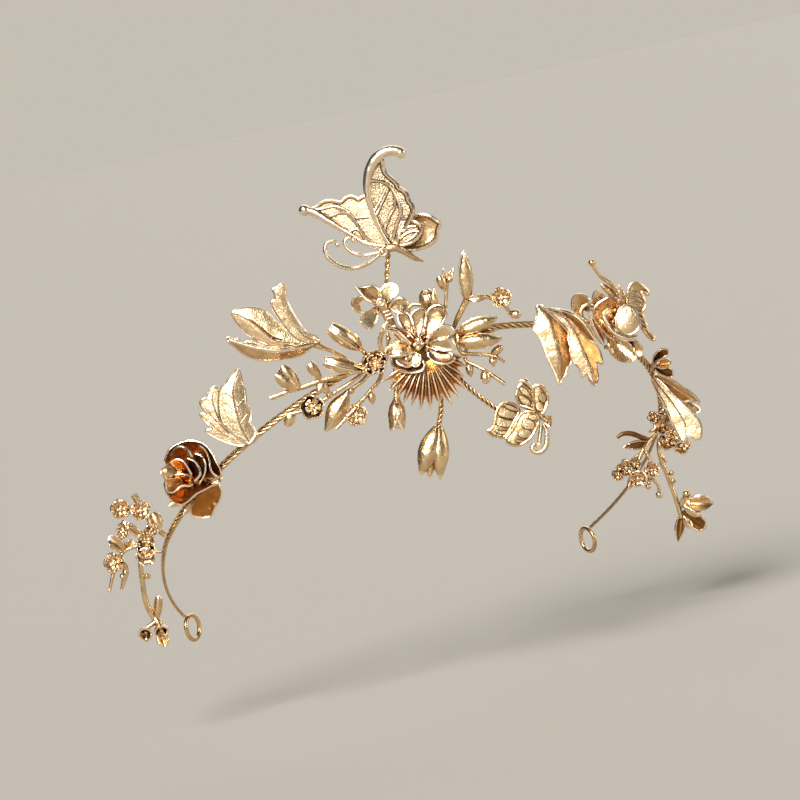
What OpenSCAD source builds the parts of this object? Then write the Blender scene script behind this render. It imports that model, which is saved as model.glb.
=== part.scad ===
// Bridal crown headband: cast butterflies, leaves, roses, buds and small blossoms on a wire band.
// Millimetres. X runs to the right of the front view, Y to the back of the head, Z up.
// The origin is the spot at the front where the band rests on the head.

/* [Band] */
// Widest distance between the two sides of the band
band_span = 154; // [152:1:156]
// Depth of the arc from the front, measured along its sloping plane
band_depth = 72; // [71:0.5:73]
// Slope of the band towards the nape, in degrees
band_drop = 40; // [39:0.5:41]
// How much lower the band is bent between the left front and the left side
left_sag = 2; // [1.8:0.1:2.2]
// Thickness of the wound wire at the front
band_d = 2; // [1.8:0.1:2.1]
// Thickness of the bare wire at the two ends
end_wire_d = 1; // [0.8:0.1:1.1]
// How far round the band runs to the wearer's right, in degrees from the front
left_reach = 117.5; // [116:0.5:118]
// How far round the band runs to the wearer's left, in degrees from the front
right_reach = 126; // [124:0.5:126.5]

/* [End rings] */
// Outer width of each ring
ring_od = 8.4; // [8:0.1:8.6]
// Wire of each ring
ring_wire = 1.3; // [1:0.1:1.4]

/* [Castings] */
// Thickness of a cast petal, leaf or wing
skin = 0.8; // [0.7:0.05:0.9]
// Width of a thin stem
stem_d = 1.1; // [1:0.05:1.15]
// Width of a stem wound from two wires
wound_stem_d = 1.6; // [1.4:0.1:1.7]
// Width of the large butterfly over its wings and feelers
butterfly_width = 39; // [38.7:0.1:39.3]
// Width of the small butterfly with its wound stem
small_butterfly_width = 29.8; // [29.5:0.1:30.1]
// Width of the rose at the left
rose_width = 21; // [20.7:0.1:21.3]
// Width of the large open flower at the front
centre_flower_width = 19.4; // [19.1:0.1:19.7]
// Width of the pleated fan leaf under it
fan_width = 23.6; // [23.3:0.1:23.9]
// Width of the three lobed leaf at the left front
left_leaf_width = 34.4; // [34.1:0.1:34.7]
// Width of the three lobed leaf at the right front
right_leaf_width = 18.4; // [18.1:0.1:18.7]
// Width of the orchid at the right
orchid_width = 21.9; // [21.6:0.1:22.2]

/* [Facing] */
// Turn of the castings' front to the left of straight ahead, in degrees
face_turn = 18; // [17.5:0.1:18.5]
// Tilt of the castings' front above level, in degrees
face_lift = 5; // [4.5:0.1:5.5]
// Lean of the castings' upright to the right, in degrees
face_lean = 12; // [11.5:0.1:12.5]

/* [Hidden] */
stem_r = stem_d / 2;
wound_r = wound_stem_d / 2;
bead_sides = 5;
viewer = [0, 0, 1];
gold = [0.86, 0.72, 0.48];
deep_gold = [0.78, 0.58, 0.32];

// Half widths of a petal from root to tip, as shares of its widest half
oval = [0.3, 1, 0.95, 0.25];
rounded = [0.2, 0.9, 1, 0.55];
pointed = [0.35, 1, 0.8, 0.1];
strap = [0.6, 1, 0.7];

function unit(v) = v / norm(v);
// The bend at the left runs from 15 to 85 degrees
function sag(a) = a < -15 && a > -85 ? left_sag * sin(180 * (-a - 15) / 70) : 0;
function band_point(a) = [band_span / 2 * sin(a) + sag(a) * 0.4,
                          band_depth * (1 - cos(a)) * cos(band_drop) - band_d / 2,
                          -band_depth * (1 - cos(a)) * sin(band_drop) - sag(a)];
// The wire is wound up to the side castings and bare beyond them
function band_radius(a) = abs(a) < 70 ? band_d / 2 : abs(a) > 95 ? end_wire_d / 2 :
    band_d / 2 - (band_d - end_wire_d) / 2 * (abs(a) - 70) / 25;

// Carries a casting to its angle along the band: its X to the right, Y up, Z to the viewer
module seat(a) translate(band_point(a)) rotate([0, 0, -face_turn]) rotate([-face_lift, 0, 0])
    rotate([0, face_lean, 0]) rotate([90, 0, 0]) children();

// Fuses the members of one casting and brings it to its overall width
module casting(width) resize([width, 0, 0], auto = true) children();

// Solid skin between two equal grids of points, rows from root to tip, open or closed round an axis
module shell(outer, inner, closed = false) {
    rows = len(outer);
    cols = len(outer[0]);
    o = rows * cols;
    steps = closed ? cols - 1 : cols - 2;
    sides = [for (i = [0 : rows - 2]) let (a = i * cols, c = a + cols, b = a + cols - 1, d = b + cols)
        each [[c, a, o + a], [c, o + a, o + c], [b, d, o + d], [b, o + d, o + b]]];
    faces = concat(
        [for (i = [0 : rows - 2], j = [0 : steps])
            let (a = i * cols + j, b = i * cols + (j + 1) % cols, c = a + cols, d = b + cols)
            each [[a, c, d], [a, d, b], [o + a, o + d, o + c], [o + a, o + b, o + d]]],
        [for (j = [0 : steps]) let (k = (j + 1) % cols, c = o - cols + j, d = o - cols + k)
            each [[j, k, o + k], [j, o + k, o + j], [d, c, o + c], [d, o + c, o + d]]],
        closed ? [] : sides);
    polyhedron(concat([for (r = outer, p = r) p], [for (r = inner, p = r) p]), faces);
}

// Ring of joined petals, its table giving angle and tip of every petal from the heart; the gap
// between two petals ends at a share of their length
module corolla(heart, petals, root_r = 1.2, gap = 0.5, cup = 0.8) {
    n = len(petals) - 1;
    // angle, reach and height of every petal's middle, its two shoulders and the gap after it
    rays = [for (i = [0 : n]) let (a = petals[i], b = petals[(i + 1) % (n + 1)],
                                   turn = (a[0] - b[0] + 360) % 360, low = min(a[1], b[1]) * gap)
        each [a, [a[0] - turn * 0.32, a[1] * 0.88, a[2] + cup],
              [a[0] - turn / 2, low, (a[2] + b[2]) / 2 * gap],
              [b[0] + turn * 0.32, b[1] * 0.88, b[2] + cup]]];
    outer = [for (share = [0, 0.55, 1]) [for (r = rays)
        let (reach = root_r + (r[1] - root_r) * (share == 1 ? 1 : share * min(1, gap * 1.7)))
        heart + [reach * cos(r[0]), reach * sin(r[0]), r[2] * share * share]]];
    shell(outer, [for (r = outer) [for (p = r) p - [0, 0, skin]]], true);
}

// Cupped ring of petals round an upright axis, its rim dipping between them: radii from root to rim
module petal_cup(height, radii, petals, turn, dip = 0.75) {
    last = len(radii) - 1;
    function ring(less) = [for (i = [0 : last]) [for (k = [0 : 2 * petals - 1])
        let (a = turn + 180 * k / petals, tall = k % 2 == 0 ? 1 : dip, r = radii[i] - less)
        [r * cos(a), r * sin(a), height * i / last * (i == last ? tall : 1)]]];
    shell(ring(0), ring(skin), true);
}

// Round rod along a route, its radius one number or one for each point
module rod(route, r, sides = 5, up = viewer) {
    n = len(route);
    points = [for (i = [0 : n - 1])
        let (t = unit(route[min(i + 1, n - 1)] - route[max(i - 1, 0)]),
             b = unit(cross(t, up)), m = cross(t, b), q = is_list(r) ? r[i] : r)
        for (k = [0 : sides - 1])
            route[i] + q * (b * cos(360 * k / sides) + m * sin(360 * k / sides))];
    e = (n - 1) * sides;
    faces = concat(
        [for (k = [1 : sides - 2]) each [[0, k, k + 1], [e, e + k + 1, e + k]]],
        [for (i = [0 : n - 2], k = [0 : sides - 1])
            let (a = i * sides + k, b = i * sides + (k + 1) % sides, c = a + sides, d = b + sides)
            each [[a, c, d], [a, d, b]]]);
    polyhedron(points, faces);
}

// Cast petal from root to tip: cup lifts its edges, arch bows its length to the viewer
module petal(root, tip, width, cup = 0.8, arch = 0, shape = oval) {
    v = tip - root;
    s = unit(cross(v, viewer));
    n = unit(cross(s, v));
    last = len(shape) - 1;
    outer = [for (i = [0 : last]) let (t = i / last) [for (q = [-1 : 1])
        root + v * t + s * (q * width / 2 * shape[i])
        + n * (arch * 4 * t * (1 - t) + cup * q * q * shape[i])]];
    shell(outer, [for (r = outer) [for (p = r) p - n * skin]]);
}

// Toothed leaf lobe folded along its middle: rows of [share of length, left width, right width]
module lobe(root, tip, rows, fold = 1, arch = 0) {
    v = tip - root;
    s = unit(cross(v, viewer));
    n = unit(cross(s, v));
    outer = [for (r = rows) let (p = root + v * r[0] + n * (arch * 4 * r[0] * (1 - r[0])),
                                 f = fold * min(1, (r[1] + r[2]) / 4))
        [p - s * r[1] + n * f, p, p + s * r[2] + n * f]];
    shell(outer, [for (r = outer) [for (p = r) p - n * skin]]);
}

// Part of a cupped wall round an axis: radii from root to tip, between two angles
module cup_wall(root, tip, radii, from, to, cells = 3, flat = 1, face = viewer) {
    v = tip - root;
    s = unit(cross(v, face));
    n = unit(cross(s, v));
    last = len(radii) - 1;
    function ring(less) = [for (i = [0 : last]) [for (j = [0 : cells])
        let (a = from + (to - from) * j / cells, r = max(radii[i] - less, 0.15))
        root + v * i / last - s * r * cos(a) + n * r * flat * sin(a)]];
    shell(ring(0), ring(skin));
}

// Half open bud with a slit to the viewer, round a core
module open_bud(root, tip, width, gape = 0.35) {
    w = width / 2;
    cup_wall(root, tip, [w * 0.35, w, w * 0.95, w * gape], 98, 442, 6);
    rod([root, root + (tip - root) * 0.3], [w * 0.3, w * 0.8]);
}

// Small solid bud
module seed_bud(root, tip, width) {
    v = tip - root;
    rod([root, root + v * 0.5, tip], [0.4, width / 2, 0.3], 4,
        up = abs(unit(v).z) > 0.8 ? [0, 1, 0] : viewer);
}

module bead(p, d) translate(p) sphere(d = d, $fn = bead_sides);

// Five pointed blossom, a hollow star
module blossom(p, d, face = viewer, turn = 0) {
    f = unit(face);
    s = unit(cross(f, [0.1, 1, 0.2]));
    n = cross(f, s);
    r = d / 2;
    ring = [for (k = [0 : 9]) let (a = turn + 36 * k, long = k % 2 == 0)
        p + (s * cos(a) + n * sin(a)) * r * (long ? 1 : 0.55) + f * r * (long ? 0.5 : 0.2)];
    polyhedron(concat([p + f * r * 0.15, p - f * r * 0.5], ring),
        [for (k = [0 : 9]) each [[0, 2 + (k + 1) % 10, 2 + k], [1, 2 + k, 2 + (k + 1) % 10]]]);
}

// Butterfly wing: rows of [leading edge point, trailing edge point] from root to tip
module wing(rows, dish = 0.4) {
    c = rows[1][1] - rows[1][0];
    d = rows[1][0] - rows[0][0];
    turned = c.x * d.y - c.y * d.x < 0;
    outer = [for (r = rows) let (a = turned ? r[1] : r[0], b = turned ? r[0] : r[1])
        [a, (a + b) / 2 - [0, 0, dish], b]];
    shell(outer, [for (r = outer) [for (p = r) p - [0, 0, skin]]]);
}

// Horseshoe band: wire wound from several strands, worn over the head from side to side
module band_wire() color(deep_gold) {
    step = 5;
    n = round((left_reach + right_reach) / step);
    angles = [for (i = [0 : n]) -left_reach + (left_reach + right_reach) * i / n];
    rod([for (a = angles) band_point(a)], [for (a = angles) band_radius(a)], 6);
}

// Ring at an end of the band, for a tie or a hair pin
module end_ring(a, turn) {
    across = [sin(turn), -cos(turn), 0];
    ahead = unit(band_point(a) - band_point(a - sign(a) * 3)) - [0, 0, 0.5];
    hang = unit(ahead - across * (across * ahead));
    translate(band_point(a) + hang * (ring_od / 2 + 0.5)) rotate([0, 0, turn]) rotate([90, 0, 0])
        rotate_extrude($fn = 24) translate([(ring_od - ring_wire) / 2, 0])
            circle(d = ring_wire, $fn = 8);
}
module left_end_ring() color(gold) end_ring(-left_reach, 43);
module right_end_ring() color(gold) end_ring(right_reach, -77);

// Large flower at the front: ten hollow petals round a calyx on a short post
module centre_flower() color(gold) seat(-5) casting(centre_flower_width) {
    heart = [-0.7, -1.2, 5.8];
    // angle, reach, height of the tip over the heart
    petals = [[115, 10.2, 3.2], [89, 10.5, 3.7], [61, 12.5, 4.2], [24, 10.6, 3.2], [2, 10.1, 2.8],
              [-19, 9.8, 2.2], [-93, 6.4, 3.6], [-141, 8.6, 2.2], [-170, 9.4, 2.2], [150, 10.3, 3.2]];
    corolla(heart, petals, gap = 0.55);
    bead(heart, 4);
    rod([[-0.4, -0.2, 1.7], heart], 0.7, up = [0, 1, 0]);
}

// Pleated fan leaf with a toothed edge, hung under the large flower
module fan_leaf() {
    hub = [1, -2.5];
    inner_r = 2.4;
    // angle, radius of each tooth
    teeth = [[-8, 11.2], [-21, 12], [-34, 12.6], [-44, 15.2], [-55, 15.4], [-65, 16.6], [-76, 15.6],
             [-86, 16], [-96, 16.2], [-105, 15.4], [-114, 15.8], [-123, 15.4], [-133, 15], [-146, 15]];
    last = len(teeth) - 1;
    // angle, radius and height of every ridge and valley
    rays = [for (k = [0 : 2 * last]) let (a = teeth[floor(k / 2)], b = teeth[ceil(k / 2)])
        k % 2 == 0 ? [a[0], a[1], 0.35] : [(a[0] + b[0]) / 2, (a[1] + b[1]) * 0.45, -0.35]];
    function at(ray, share) = let (r = inner_r + (ray[1] - inner_r) * share)
        [hub.x + r * cos(ray[0]), hub.y + r * sin(ray[0]),
         3.9 + sin(180 * share) * 0.6 + ray[2] * share];
    outer = [for (share = [1, 0.5, 0]) [for (k = [2 * last : -1 : 0]) at(rays[k], share)]];
    color(deep_gold) seat(-5) casting(fan_width) {
        shell(outer, [for (r = outer) [for (p = r) p - [0, 0, skin]]]);
        rod([[2.8, -3.4, 3.5], [3, -1.4, 2.6], [2.6, 0.5, 1]], stem_r);
    }
}

// Flower with five broad petals on a thick stalk
module five_petal_flower() color(gold) seat(-5) casting(14.4) {
    heart = [-11.5, 10.8, 4.6];
    // angle, reach, height of the tip over the heart
    petals = [[123, 5.9, 1.8], [52, 6.5, 1.4], [-7, 7.3, 1], [-110, 7.9, 1.2], [-172, 7.2, 1.4]];
    corolla(heart, petals, gap = 0.5, cup = 0.6);
    bead(heart, 3.2);
    rod([heart, [-9.4, 7, 3.8], [-7.6, 3.4, 2.6], [-6, -0.6, 1.5]], [1.2, 1.2, 1, 0.8]);
}

// Tiny rose in front of the band
module small_rosette() color(deep_gold) seat(-5) casting(5.8) {
    heart = [-12.6, -6, 6.3];
    blossom(heart, 6.2);
    cup_wall(heart, heart + [0, 0, 1.8], [1, 1.7, 1.6], 0, 300, 4, face = [0, 1, 0]);
    rod([heart, [-11.9, -4.5, 3.8]], 0.6, up = [0, 1, 0]);
}

// Half open buds either side of the hub
module bud_left_upper() color(gold) seat(-5) casting(11.4) {
    open_bud([-17, -1.6, 5.8], [-25.5, 4.3, 7.4], 4.8, 0.5);
    rod([[-15.2, -4, 2.8], [-15.9, -2.6, 4.8], [-17.4, -1.3, 5.9]], [stem_r, stem_r, 0.8]);
    petal([-16.6, -2, 5.4], [-18.2, 2.6, 5], 1.6, 0.3);
}
module bud_left_lower() color(gold) seat(-5) casting(13.6) {
    open_bud([-16.4, -7.7, 7.2], [-27, -5, 8.6], 4.2, 0.4);
    rod([[-14.1, -5.2, 4.2], [-15.2, -6.4, 5.9], [-16.9, -7.6, 7.3]], [stem_r, stem_r, 0.8]);
}
module bud_pair_right() color(gold) seat(-5) casting(13.8) {
    open_bud([9.4, 2, 0.6], [20.5, 6.6, 2], 4.4, 0.2);
    open_bud([9.6, -0.4, 1.8], [21.8, 0.8, 2.6], 3.9, 0.2);
    petal([10.2, 1.2, 0.4], [20.9, 3.2, -0.6], 2.8, 0.6);
    rod([[9.6, -0.4, 1.8], [9.6, 2, 0.5], [8.8, 1.6, -1]], [1, 1.1, 0.8], up = [1, 0, 0]);
}

// Bud of two petals above the large flower, its stem bent down behind it
module bud_top() color(gold) seat(-5) casting(8.6) {
    petal([2.2, 8.8, 1.6], [0.6, 14.5, 2.4], 3.2, -0.9, 0.5, pointed);
    petal([2.4, 8.8, 1.6], [2.8, 14.9, 2.4], 3, -0.9, 0.5, pointed);
    bead([2.2, 9, 1.4], 1.8);
    rod([[2.2, 9, 1.3], [-1, 10.2, 1], [-3.4, 9.6, 0.8], [-4, 6, 0.8], [-3.2, 3, 0.8], [-2.3, 0.5, 0.6]],
        stem_r);
}

// Upright sprig with two small buds
module sprig_top() color(gold) seat(-5) casting(5.3) {
    rod([[5, 2.8, -1.5], [5.6, 5.5, -1], [6.4, 9.5, -0.6], [6.6, 13, -0.4], [6.7, 16.6, -0.2]], stem_r);
    cup_wall([6.2, 14.2, -0.4], [4.4, 18, 0.2], [0.5, 1.1, 1.2, 0.7], 0, 330, 5);
    petal([6.7, 16.4, -0.2], [8.9, 20.6, 0.2], 1.5, 0.4);
    petal([6.7, 16.4, -0.2], [5.6, 20.4, 0.2], 1, 0.3);
    seed_bud([6.9, 16.2, 0], [8.2, 18, 0.4], 1.8);
}

// Branch with a tall bud, a pod, a blossom and an end bud
module flower_branch_top() color(gold) seat(-5) casting(19.2) {
    rod([[8.5, 3.7, -2.7], [9.8, 6.8, -1.6], [12.2, 11.4, -0.6]], [stem_r, 0.8, 0.8]);
    cup_wall([12.3, 11, -0.6], [11.2, 25, 0.8], [0.8, 2, 2, 0.5], 196, 344, 3);
    seed_bud([12.2, 11.4, -0.6], [18, 12.4, -0.8], 2.4);
    rod([[17.4, 12.3, -0.8], [19.4, 11.8, -1.2], [21.5, 11.8, -1.8], [22.9, 9.4, -3], [24.4, 7.2, -5]],
        [0.6, 0.7, 0.7, 0.6, 0.5]);
    blossom([21.5, 12, -0.9], 4.4);
    seed_bud([24, 7.6, -4.6], [27.2, 7.4, -4], 2.4);
}

// Sprigs with small buds at the right of the hub
module sprig_right_lower() color(gold) seat(-5) casting(13.9) {
    rod([[9.2, 0.9, -3], [10.6, -2.8, -2.2], [14, -3.3, -1.8], [17.5, -3.5, -1.4], [20.3, -4.2, -1],
         [22.4, -5.6, -1]], [stem_r, stem_r, stem_r, stem_r, stem_r, 0.4]);
    seed_bud([18.6, -3.8, -1.2], [22, -1, -0.6], 2.4);
    seed_bud([19, -3.9, -1.1], [19.3, -6.8, -0.6], 2.2);
}
module sprig_right_under() color(gold) seat(-5) casting(11.5) {
    rod([[12.4, 1.6, -4.1], [12, -2.5, -4.4], [11.8, -5, -3.6], [14.2, -6.3, -2.8], [16.9, -7.7, -2],
         [21, -10.5, -1.4], [22.6, -11.7, -1.2]], [stem_r, stem_r, stem_r, stem_r, stem_r, 0.6, 0.4]);
    seed_bud([12.4, -5.2, -3.4], [13.2, -9.8, -2.4], 2.4);
    seed_bud([17, -7.7, -2], [17.3, -11.6, -1.2], 2.6);
}

// Long twig in front of the band to the left, with a pair of leaf buds
module twig_left_long() color(gold) seat(-5) casting(25.4) {
    rod([[-16.4, -7.6, 4.8], [-21.5, -9, 4.6], [-27, -10.2, 4.8], [-32, -12, 4.6], [-37, -13.5, 4.4],
         [-41.5, -15.2, 4.2]], [stem_r, stem_r, 0.6, 0.6, 0.6, 0.4]);
    petal([-34.2, -12.4, 4.6], [-38.6, -6.4, 5.6], 3.2, -0.8, 0.5, oval);
    petal([-34.6, -12.6, 4.8], [-40, -9, 6], 3, -0.8, 0.5, oval);
    petal([-28, -10.3, 5], [-30.6, -5.8, 5.6], 2, -0.5, 0.3, strap);
}

// Twig with a blossom and a small bud beyond it
module twig_left_middle() color(gold) seat(-5) casting(22.8) {
    rod([[-15, -7.5, 2.9], [-17.4, -9.4, 2.8], [-20.5, -11.5, 2.6], [-27, -15.8, 3.4], [-30, -17.6, 3.8],
         [-33, -18.7, 3.6], [-36.8, -19.6, 3]], [stem_r, stem_r, stem_r, 0.6, 0.6, stem_r, 0.45]);
    blossom([-30, -17.6, 5], 5.4);
    seed_bud([-36, -19.4, 3.2], [-37, -23, 2.8], 2.2);
    petal([-24.6, -13.9, 3.8], [-28.4, -12, 5], 1.6, 0.3);
}

// Thin twig hanging to the left, with a bud and a blossom on its right side
module twig_left_low() color(gold) seat(-5) casting(13.8) {
    rod([[-10.6, -5.3, 2.1], [-11.6, -10, 2], [-14, -13, 3], [-17.5, -17, 4.4], [-20.6, -20.4, 4.8],
         [-23.6, -23.6, 5]], [stem_r, stem_r, stem_r, stem_r, 0.5, 0.45]);
    seed_bud([-14, -13.4, 3], [-13.6, -17.2, 3], 2.2);
    blossom([-18, -19.8, 4.6], 4.6);
}

// Large closed leaf bud
module leaf_bud_left() color(gold) seat(-5) casting(14.5) {
    rod([[-12.9, -6.5, 2.3], [-16.4, -10.6, 1.2], [-20.4, -13.5, 0.6], [-22.4, -16, 0.6]],
        [stem_r, stem_r, 0.6, 0.9]);
    cup_wall([-20.6, -13.8, 0.4], [-26.6, -24.6, 0.8], [0.7, 2.8, 2.8, 0.5], 20, 160, 3, 0.5);
    cup_wall([-20.6, -13.8, 0.4], [-26.6, -24.6, 0.8], [0.6, 2.4, 2.4, 0.4], 200, 340, 3, 0.5);
    bead([-19.4, -13.2, 1.2], 1.8);
}

// Two buds hanging under the fan leaf
module hanging_bud_small() color(gold) seat(-5) casting(4.5) {
    rod([[-8.1, -4, 1.6], [-7.4, -8, 1], [-7.1, -12, 0.8], [-7, -16.4, 0.8]], [stem_r, stem_r, 0.6, 0.9]);
    open_bud([-7, -15.6, 0.8], [-7, -24.4, 1.2], 5, 0.7);
}
module hanging_bud_large() color(gold) seat(-5) casting(8.6) {
    rod([[3.1, -0.6, -1.1], [3.9, -3, -0.6], [4.6, -8, 0.4], [5, -17.5, 0.8], [4.2, -23.4, 1]], wound_r);
    cup_wall([4.2, -22.8, 1], [-0.8, -36.6, 1.4], [0.8, 2.9, 2.7, 0.7], 20, 172, 3, 0.8);
    cup_wall([4.4, -22.8, 1], [4.6, -38, 1.4], [0.8, 2.5, 2.3, 0.3], 8, 165, 3, 0.8);
    cup_wall([4.2, -22.8, 0.6], [2, -36, 0], [0.8, 3.4, 3.4, 1], 195, 345, 3, 0.7);
    seed_bud([2.4, -31.5, 1], [1.6, -37.4, 0.8], 2.4);
}

// Small butterfly on a wound stem
module small_butterfly() color(gold) seat(-5) casting(small_butterfly_width) {
    rod([[6.5, 0.2, -2.2], [7.4, -3, -1.4], [10.5, -10.5, -0.6], [20.5, -18.5, -0.8], [26.4, -20.4, -0.8]],
        [wound_r, wound_r, wound_r, wound_r, stem_r]);
    rod([[26.6, -17.2, -0.4], [31, -18.9, 0.2], [34.2, -21.6, 0.4]], [0.5, 0.9, 0.7]);
    wing([[[27.4, -17.6, 0.4], [26.6, -22, 0.2]], [[24.6, -16.5, 0.6], [24.5, -25, 0.4]],
          [[22.5, -17, 0.6], [22.3, -26.4, 0.4]], [[20.5, -19, 0.4], [19.6, -25.6, 0.2]],
          [[19.6, -21.8, 0.2], [17.4, -24.6, 0]]]);
    wing([[[32.6, -20, 1], [32.4, -21.4, 1]], [[29, -19, 2], [31, -24.5, 1.6]],
          [[27, -20, 2.2], [29, -27, 1.8]], [[25.9, -22.5, 2.2], [27, -28.5, 1.8]],
          [[24.8, -25, 2], [24.2, -28, 1.8]]]);
    wing([[[31.2, -18.3, 0.4], [28, -17.5, 0.2]], [[30.1, -14.5, 0.2], [25.8, -16, 0]],
          [[29.7, -12, 0], [25.6, -13.6, 0]], [[28, -10.2, 0.2], [26.4, -10.6, 0.2]]]);
    wing([[[31, -18.2, 1], [33.4, -19.4, 0.8]], [[30.4, -15, 1.2], [34.5, -17, 1]],
          [[30.5, -12.9, 1.4], [34.6, -14.4, 1.2]], [[31.4, -11.4, 1.2], [33, -12.2, 1.2]]]);
    wing([[[33, -20.4, 0.8], [33.2, -22.6, 0.8]], [[34.6, -19.4, 1.2], [34.6, -23.6, 1.2]],
          [[35.5, -21.2, 1.2], [35.4, -22, 1.2]]]);
    rod([[32.5, -21.4, 0.6], [33.9, -24.5, 0.8], [34.2, -28, 0.8], [32.6, -30, 0.8], [30.8, -30, 0.8],
         [30, -28.8, 0.8], [30.6, -27.8, 0.8], [31.4, -28.4, 0.8]], 0.5, 4);
}

// Large butterfly over the band, wings half closed, two curled feelers
module large_butterfly() color(gold) seat(-5) casting(butterfly_width) {
    rod([[-9.2, -1.2, 2], [-9.2, 1, 0.6], [-9.3, 6, -0.8], [-9.6, 17, -1], [-9.2, 24.6, -0.4]], wound_r);
    rod([[-11.6, 24.2, 0], [-9.4, 25.6, 0], [-7, 26.2, 0], [-3.4, 24.2, 0], [0.6, 21.9, 0]],
        [1, 1.1, 1.1, 0.8, 0.4]);
    // near forewing, curled at its tip
    wing([[[-11, 25.6, 0.8], [-7.5, 26.6, 0.8]], [[-12.6, 30.4, 1.6], [-4.6, 33, 1.8]],
          [[-13.6, 34.6, 2.2], [-2.4, 35.2, 2.6]], [[-14.7, 38, 2.6], [-3.9, 39.4, 3]],
          [[-15.1, 41.2, 3], [-4.9, 42, 3.2]], [[-15, 44.6, 3.2], [-8, 45, 3.4]],
          [[-13.9, 48.2, 3.6], [-10.2, 48.2, 3.6]], [[-11.6, 51.2, 4], [-9.4, 49.6, 4]],
          [[-8.8, 52.8, 4.4], [-8, 50.3, 4.2]], [[-6, 52.8, 4.6], [-6.4, 50, 4.4]],
          [[-4.8, 51.4, 4.6], [-5.6, 49.6, 4.4]]]);
    // near hindwing
    petal([-7.4, 26.2, 0.8], [-0.6, 32.4, 2.2], 6.2, 0.4, 0.3, rounded);
    // far forewing, ending in a knob
    wing([[[-9.4, 27, -0.2], [-11.6, 24.8, -0.2]], [[-12.2, 33, -1.2], [-15, 27.4, -1.2]],
          [[-15.6, 39.6, -2.2], [-19.6, 30.6, -2.2]], [[-21, 39.2, -3], [-24.6, 34, -3]],
          [[-27, 38.4, -3.8], [-29, 35.4, -3.8]], [[-31.6, 37.2, -4.4], [-31.8, 35, -4.4]]]);
    bead([-32.4, 36.2, -4.8], 2.6);
    // far hindwing, bent towards its point
    wing([[[-5, 28, -0.4], [-4, 24.6, -0.4]], [[-3, 33.4, -1.6], [0.6, 25.4, -1.4]],
          [[-0.4, 34.9, -2.2], [3.6, 27.5, -2]], [[2.2, 34.2, -2.6], [4.9, 30, -2.4]],
          [[4.4, 32.8, -2.8], [5.6, 31.8, -2.8]]]);
    rod([[-11.4, 24, 0.2], [-14.5, 21.5, 0.8], [-18.5, 20.4, 1.2], [-22.6, 21, 1.6], [-25.2, 22.8, 1.8],
         [-26.4, 25.4, 1.8], [-25.8, 27.4, 1.8], [-24.2, 28, 1.8], [-22.9, 27.4, 1.8], [-22.8, 26.4, 1.8]],
        0.55, 4);
    rod([[-11.6, 24.2, -0.2], [-16.5, 23.9, -0.6], [-19.4, 24.7, -0.8], [-21, 26.4, -1], [-21, 28, -1],
         [-19.6, 28.8, -1], [-18.2, 28, -1]], 0.55, 4);
}

// Three lobed leaf left of the hub, its lobes folded and toothed
module three_lobed_leaf_front() color(gold) seat(-5) casting(left_leaf_width) {
    rod([[-19, -6.2, 3.2], [-21.4, -4, 3.4], [-24, -2.6, 3.6], [-29, -1, 3.6]],
        [stem_r, stem_r, stem_r, 0.9]);
    // share of length, left width, right width
    upper = [[0, 0.5, 0.4], [0.3, 2.4, 0.8], [0.6, 3.2, 0.8], [0.74, 3.4, 0.6], [0.76, 2.4, 0.6],
             [0.88, 2.4, 0.7], [0.9, 1.4, 0.7], [1, 0.5, 0.6]];
    middle = [[0, 0.6, 0.6], [0.2, 2.2, 2.6], [0.4, 3, 3.6], [0.6, 3.2, 3.6], [0.8, 2, 2.4], [1, 0.4, 0.4]];
    lower = [[0, 0.6, 0.6], [0.2, 2, 1], [0.45, 3.4, 1.2], [0.65, 3, 1.4], [0.78, 2.4, 1.4],
             [0.8, 2.2, 0.9], [0.9, 1.2, 0.9], [1, 0.4, 0.4]];
    lobe([-28, -0.6, 4], [-39, 14.8, 7.2], upper, 0.8);
    lobe([-28, -0.6, 4], [-51.4, 7.8, 6.4], middle, 1.4, 0.6);
    lobe([-28, -0.8, 4], [-53, 0.6, 5.2], lower, 1.2, -0.2);
    bead([-28.4, -0.6, 3.9], 2);
}

// Toothed leaf standing over the band at the left
module leaf_left() color(gold) seat(-47) translate([-1, 1.8, 1.1]) casting(15.6) {
    main = [[0, 0.8, 0.9], [0.3, 3.2, 3], [0.5, 4.3, 2.6], [0.68, 3.9, 1.6], [0.72, 2.8, 1.6], [1, 0.3, 0.3]];
    second = [[0, 0.5, 0.5], [0.5, 2.4, 2.6], [0.52, 1.8, 2.6], [0.76, 2, 2.2], [1, 0.3, 0.4]];
    third = [[0, 0.4, 0.4], [0.4, 1.2, 1.4], [0.7, 1.3, 1.4], [1, 0.3, 0.3]];
    lobe([0.8, -2, 2.2], [-2, 18.2, 4], main, 1, 0.4);
    lobe([0.6, -2, 2.3], [-10.4, 11, 2.8], second, 0.8);
    lobe([0.4, -2.2, 2.2], [-11.4, 5.6, 2.6], second, 0.8);
    lobe([0, -2.4, 2.2], [-10.4, 1, 2.4], third, 0.4);
    rod([[0.4, -2, 2], [3.6, 0.8, 2.2]], [1, 0.7]);
    bead([0.6, -1.6, 2.1], 1.8);
}

// Full rose at the left, its petals nested round the heart
module rose_left() color(deep_gold) seat(-63) translate([0.6, 2, 5]) rotate([0, -32, 0]) casting(rose_width) {
    petal_cup(5.4, [2, 7, 9.4], 5, 6);
    petal_cup(6.4, [1.7, 5.6, 6.5], 4, 50);
    petal_cup(6.8, [1.4, 3.6, 3.8], 3, 20);
    bead([0, 0, 1], 4);
    rod([[0.6, 0, 0.6], [-0.6, -0.6, -1.6]], [1.2, 0.8], up = [0, 1, 0]);
}

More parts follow.
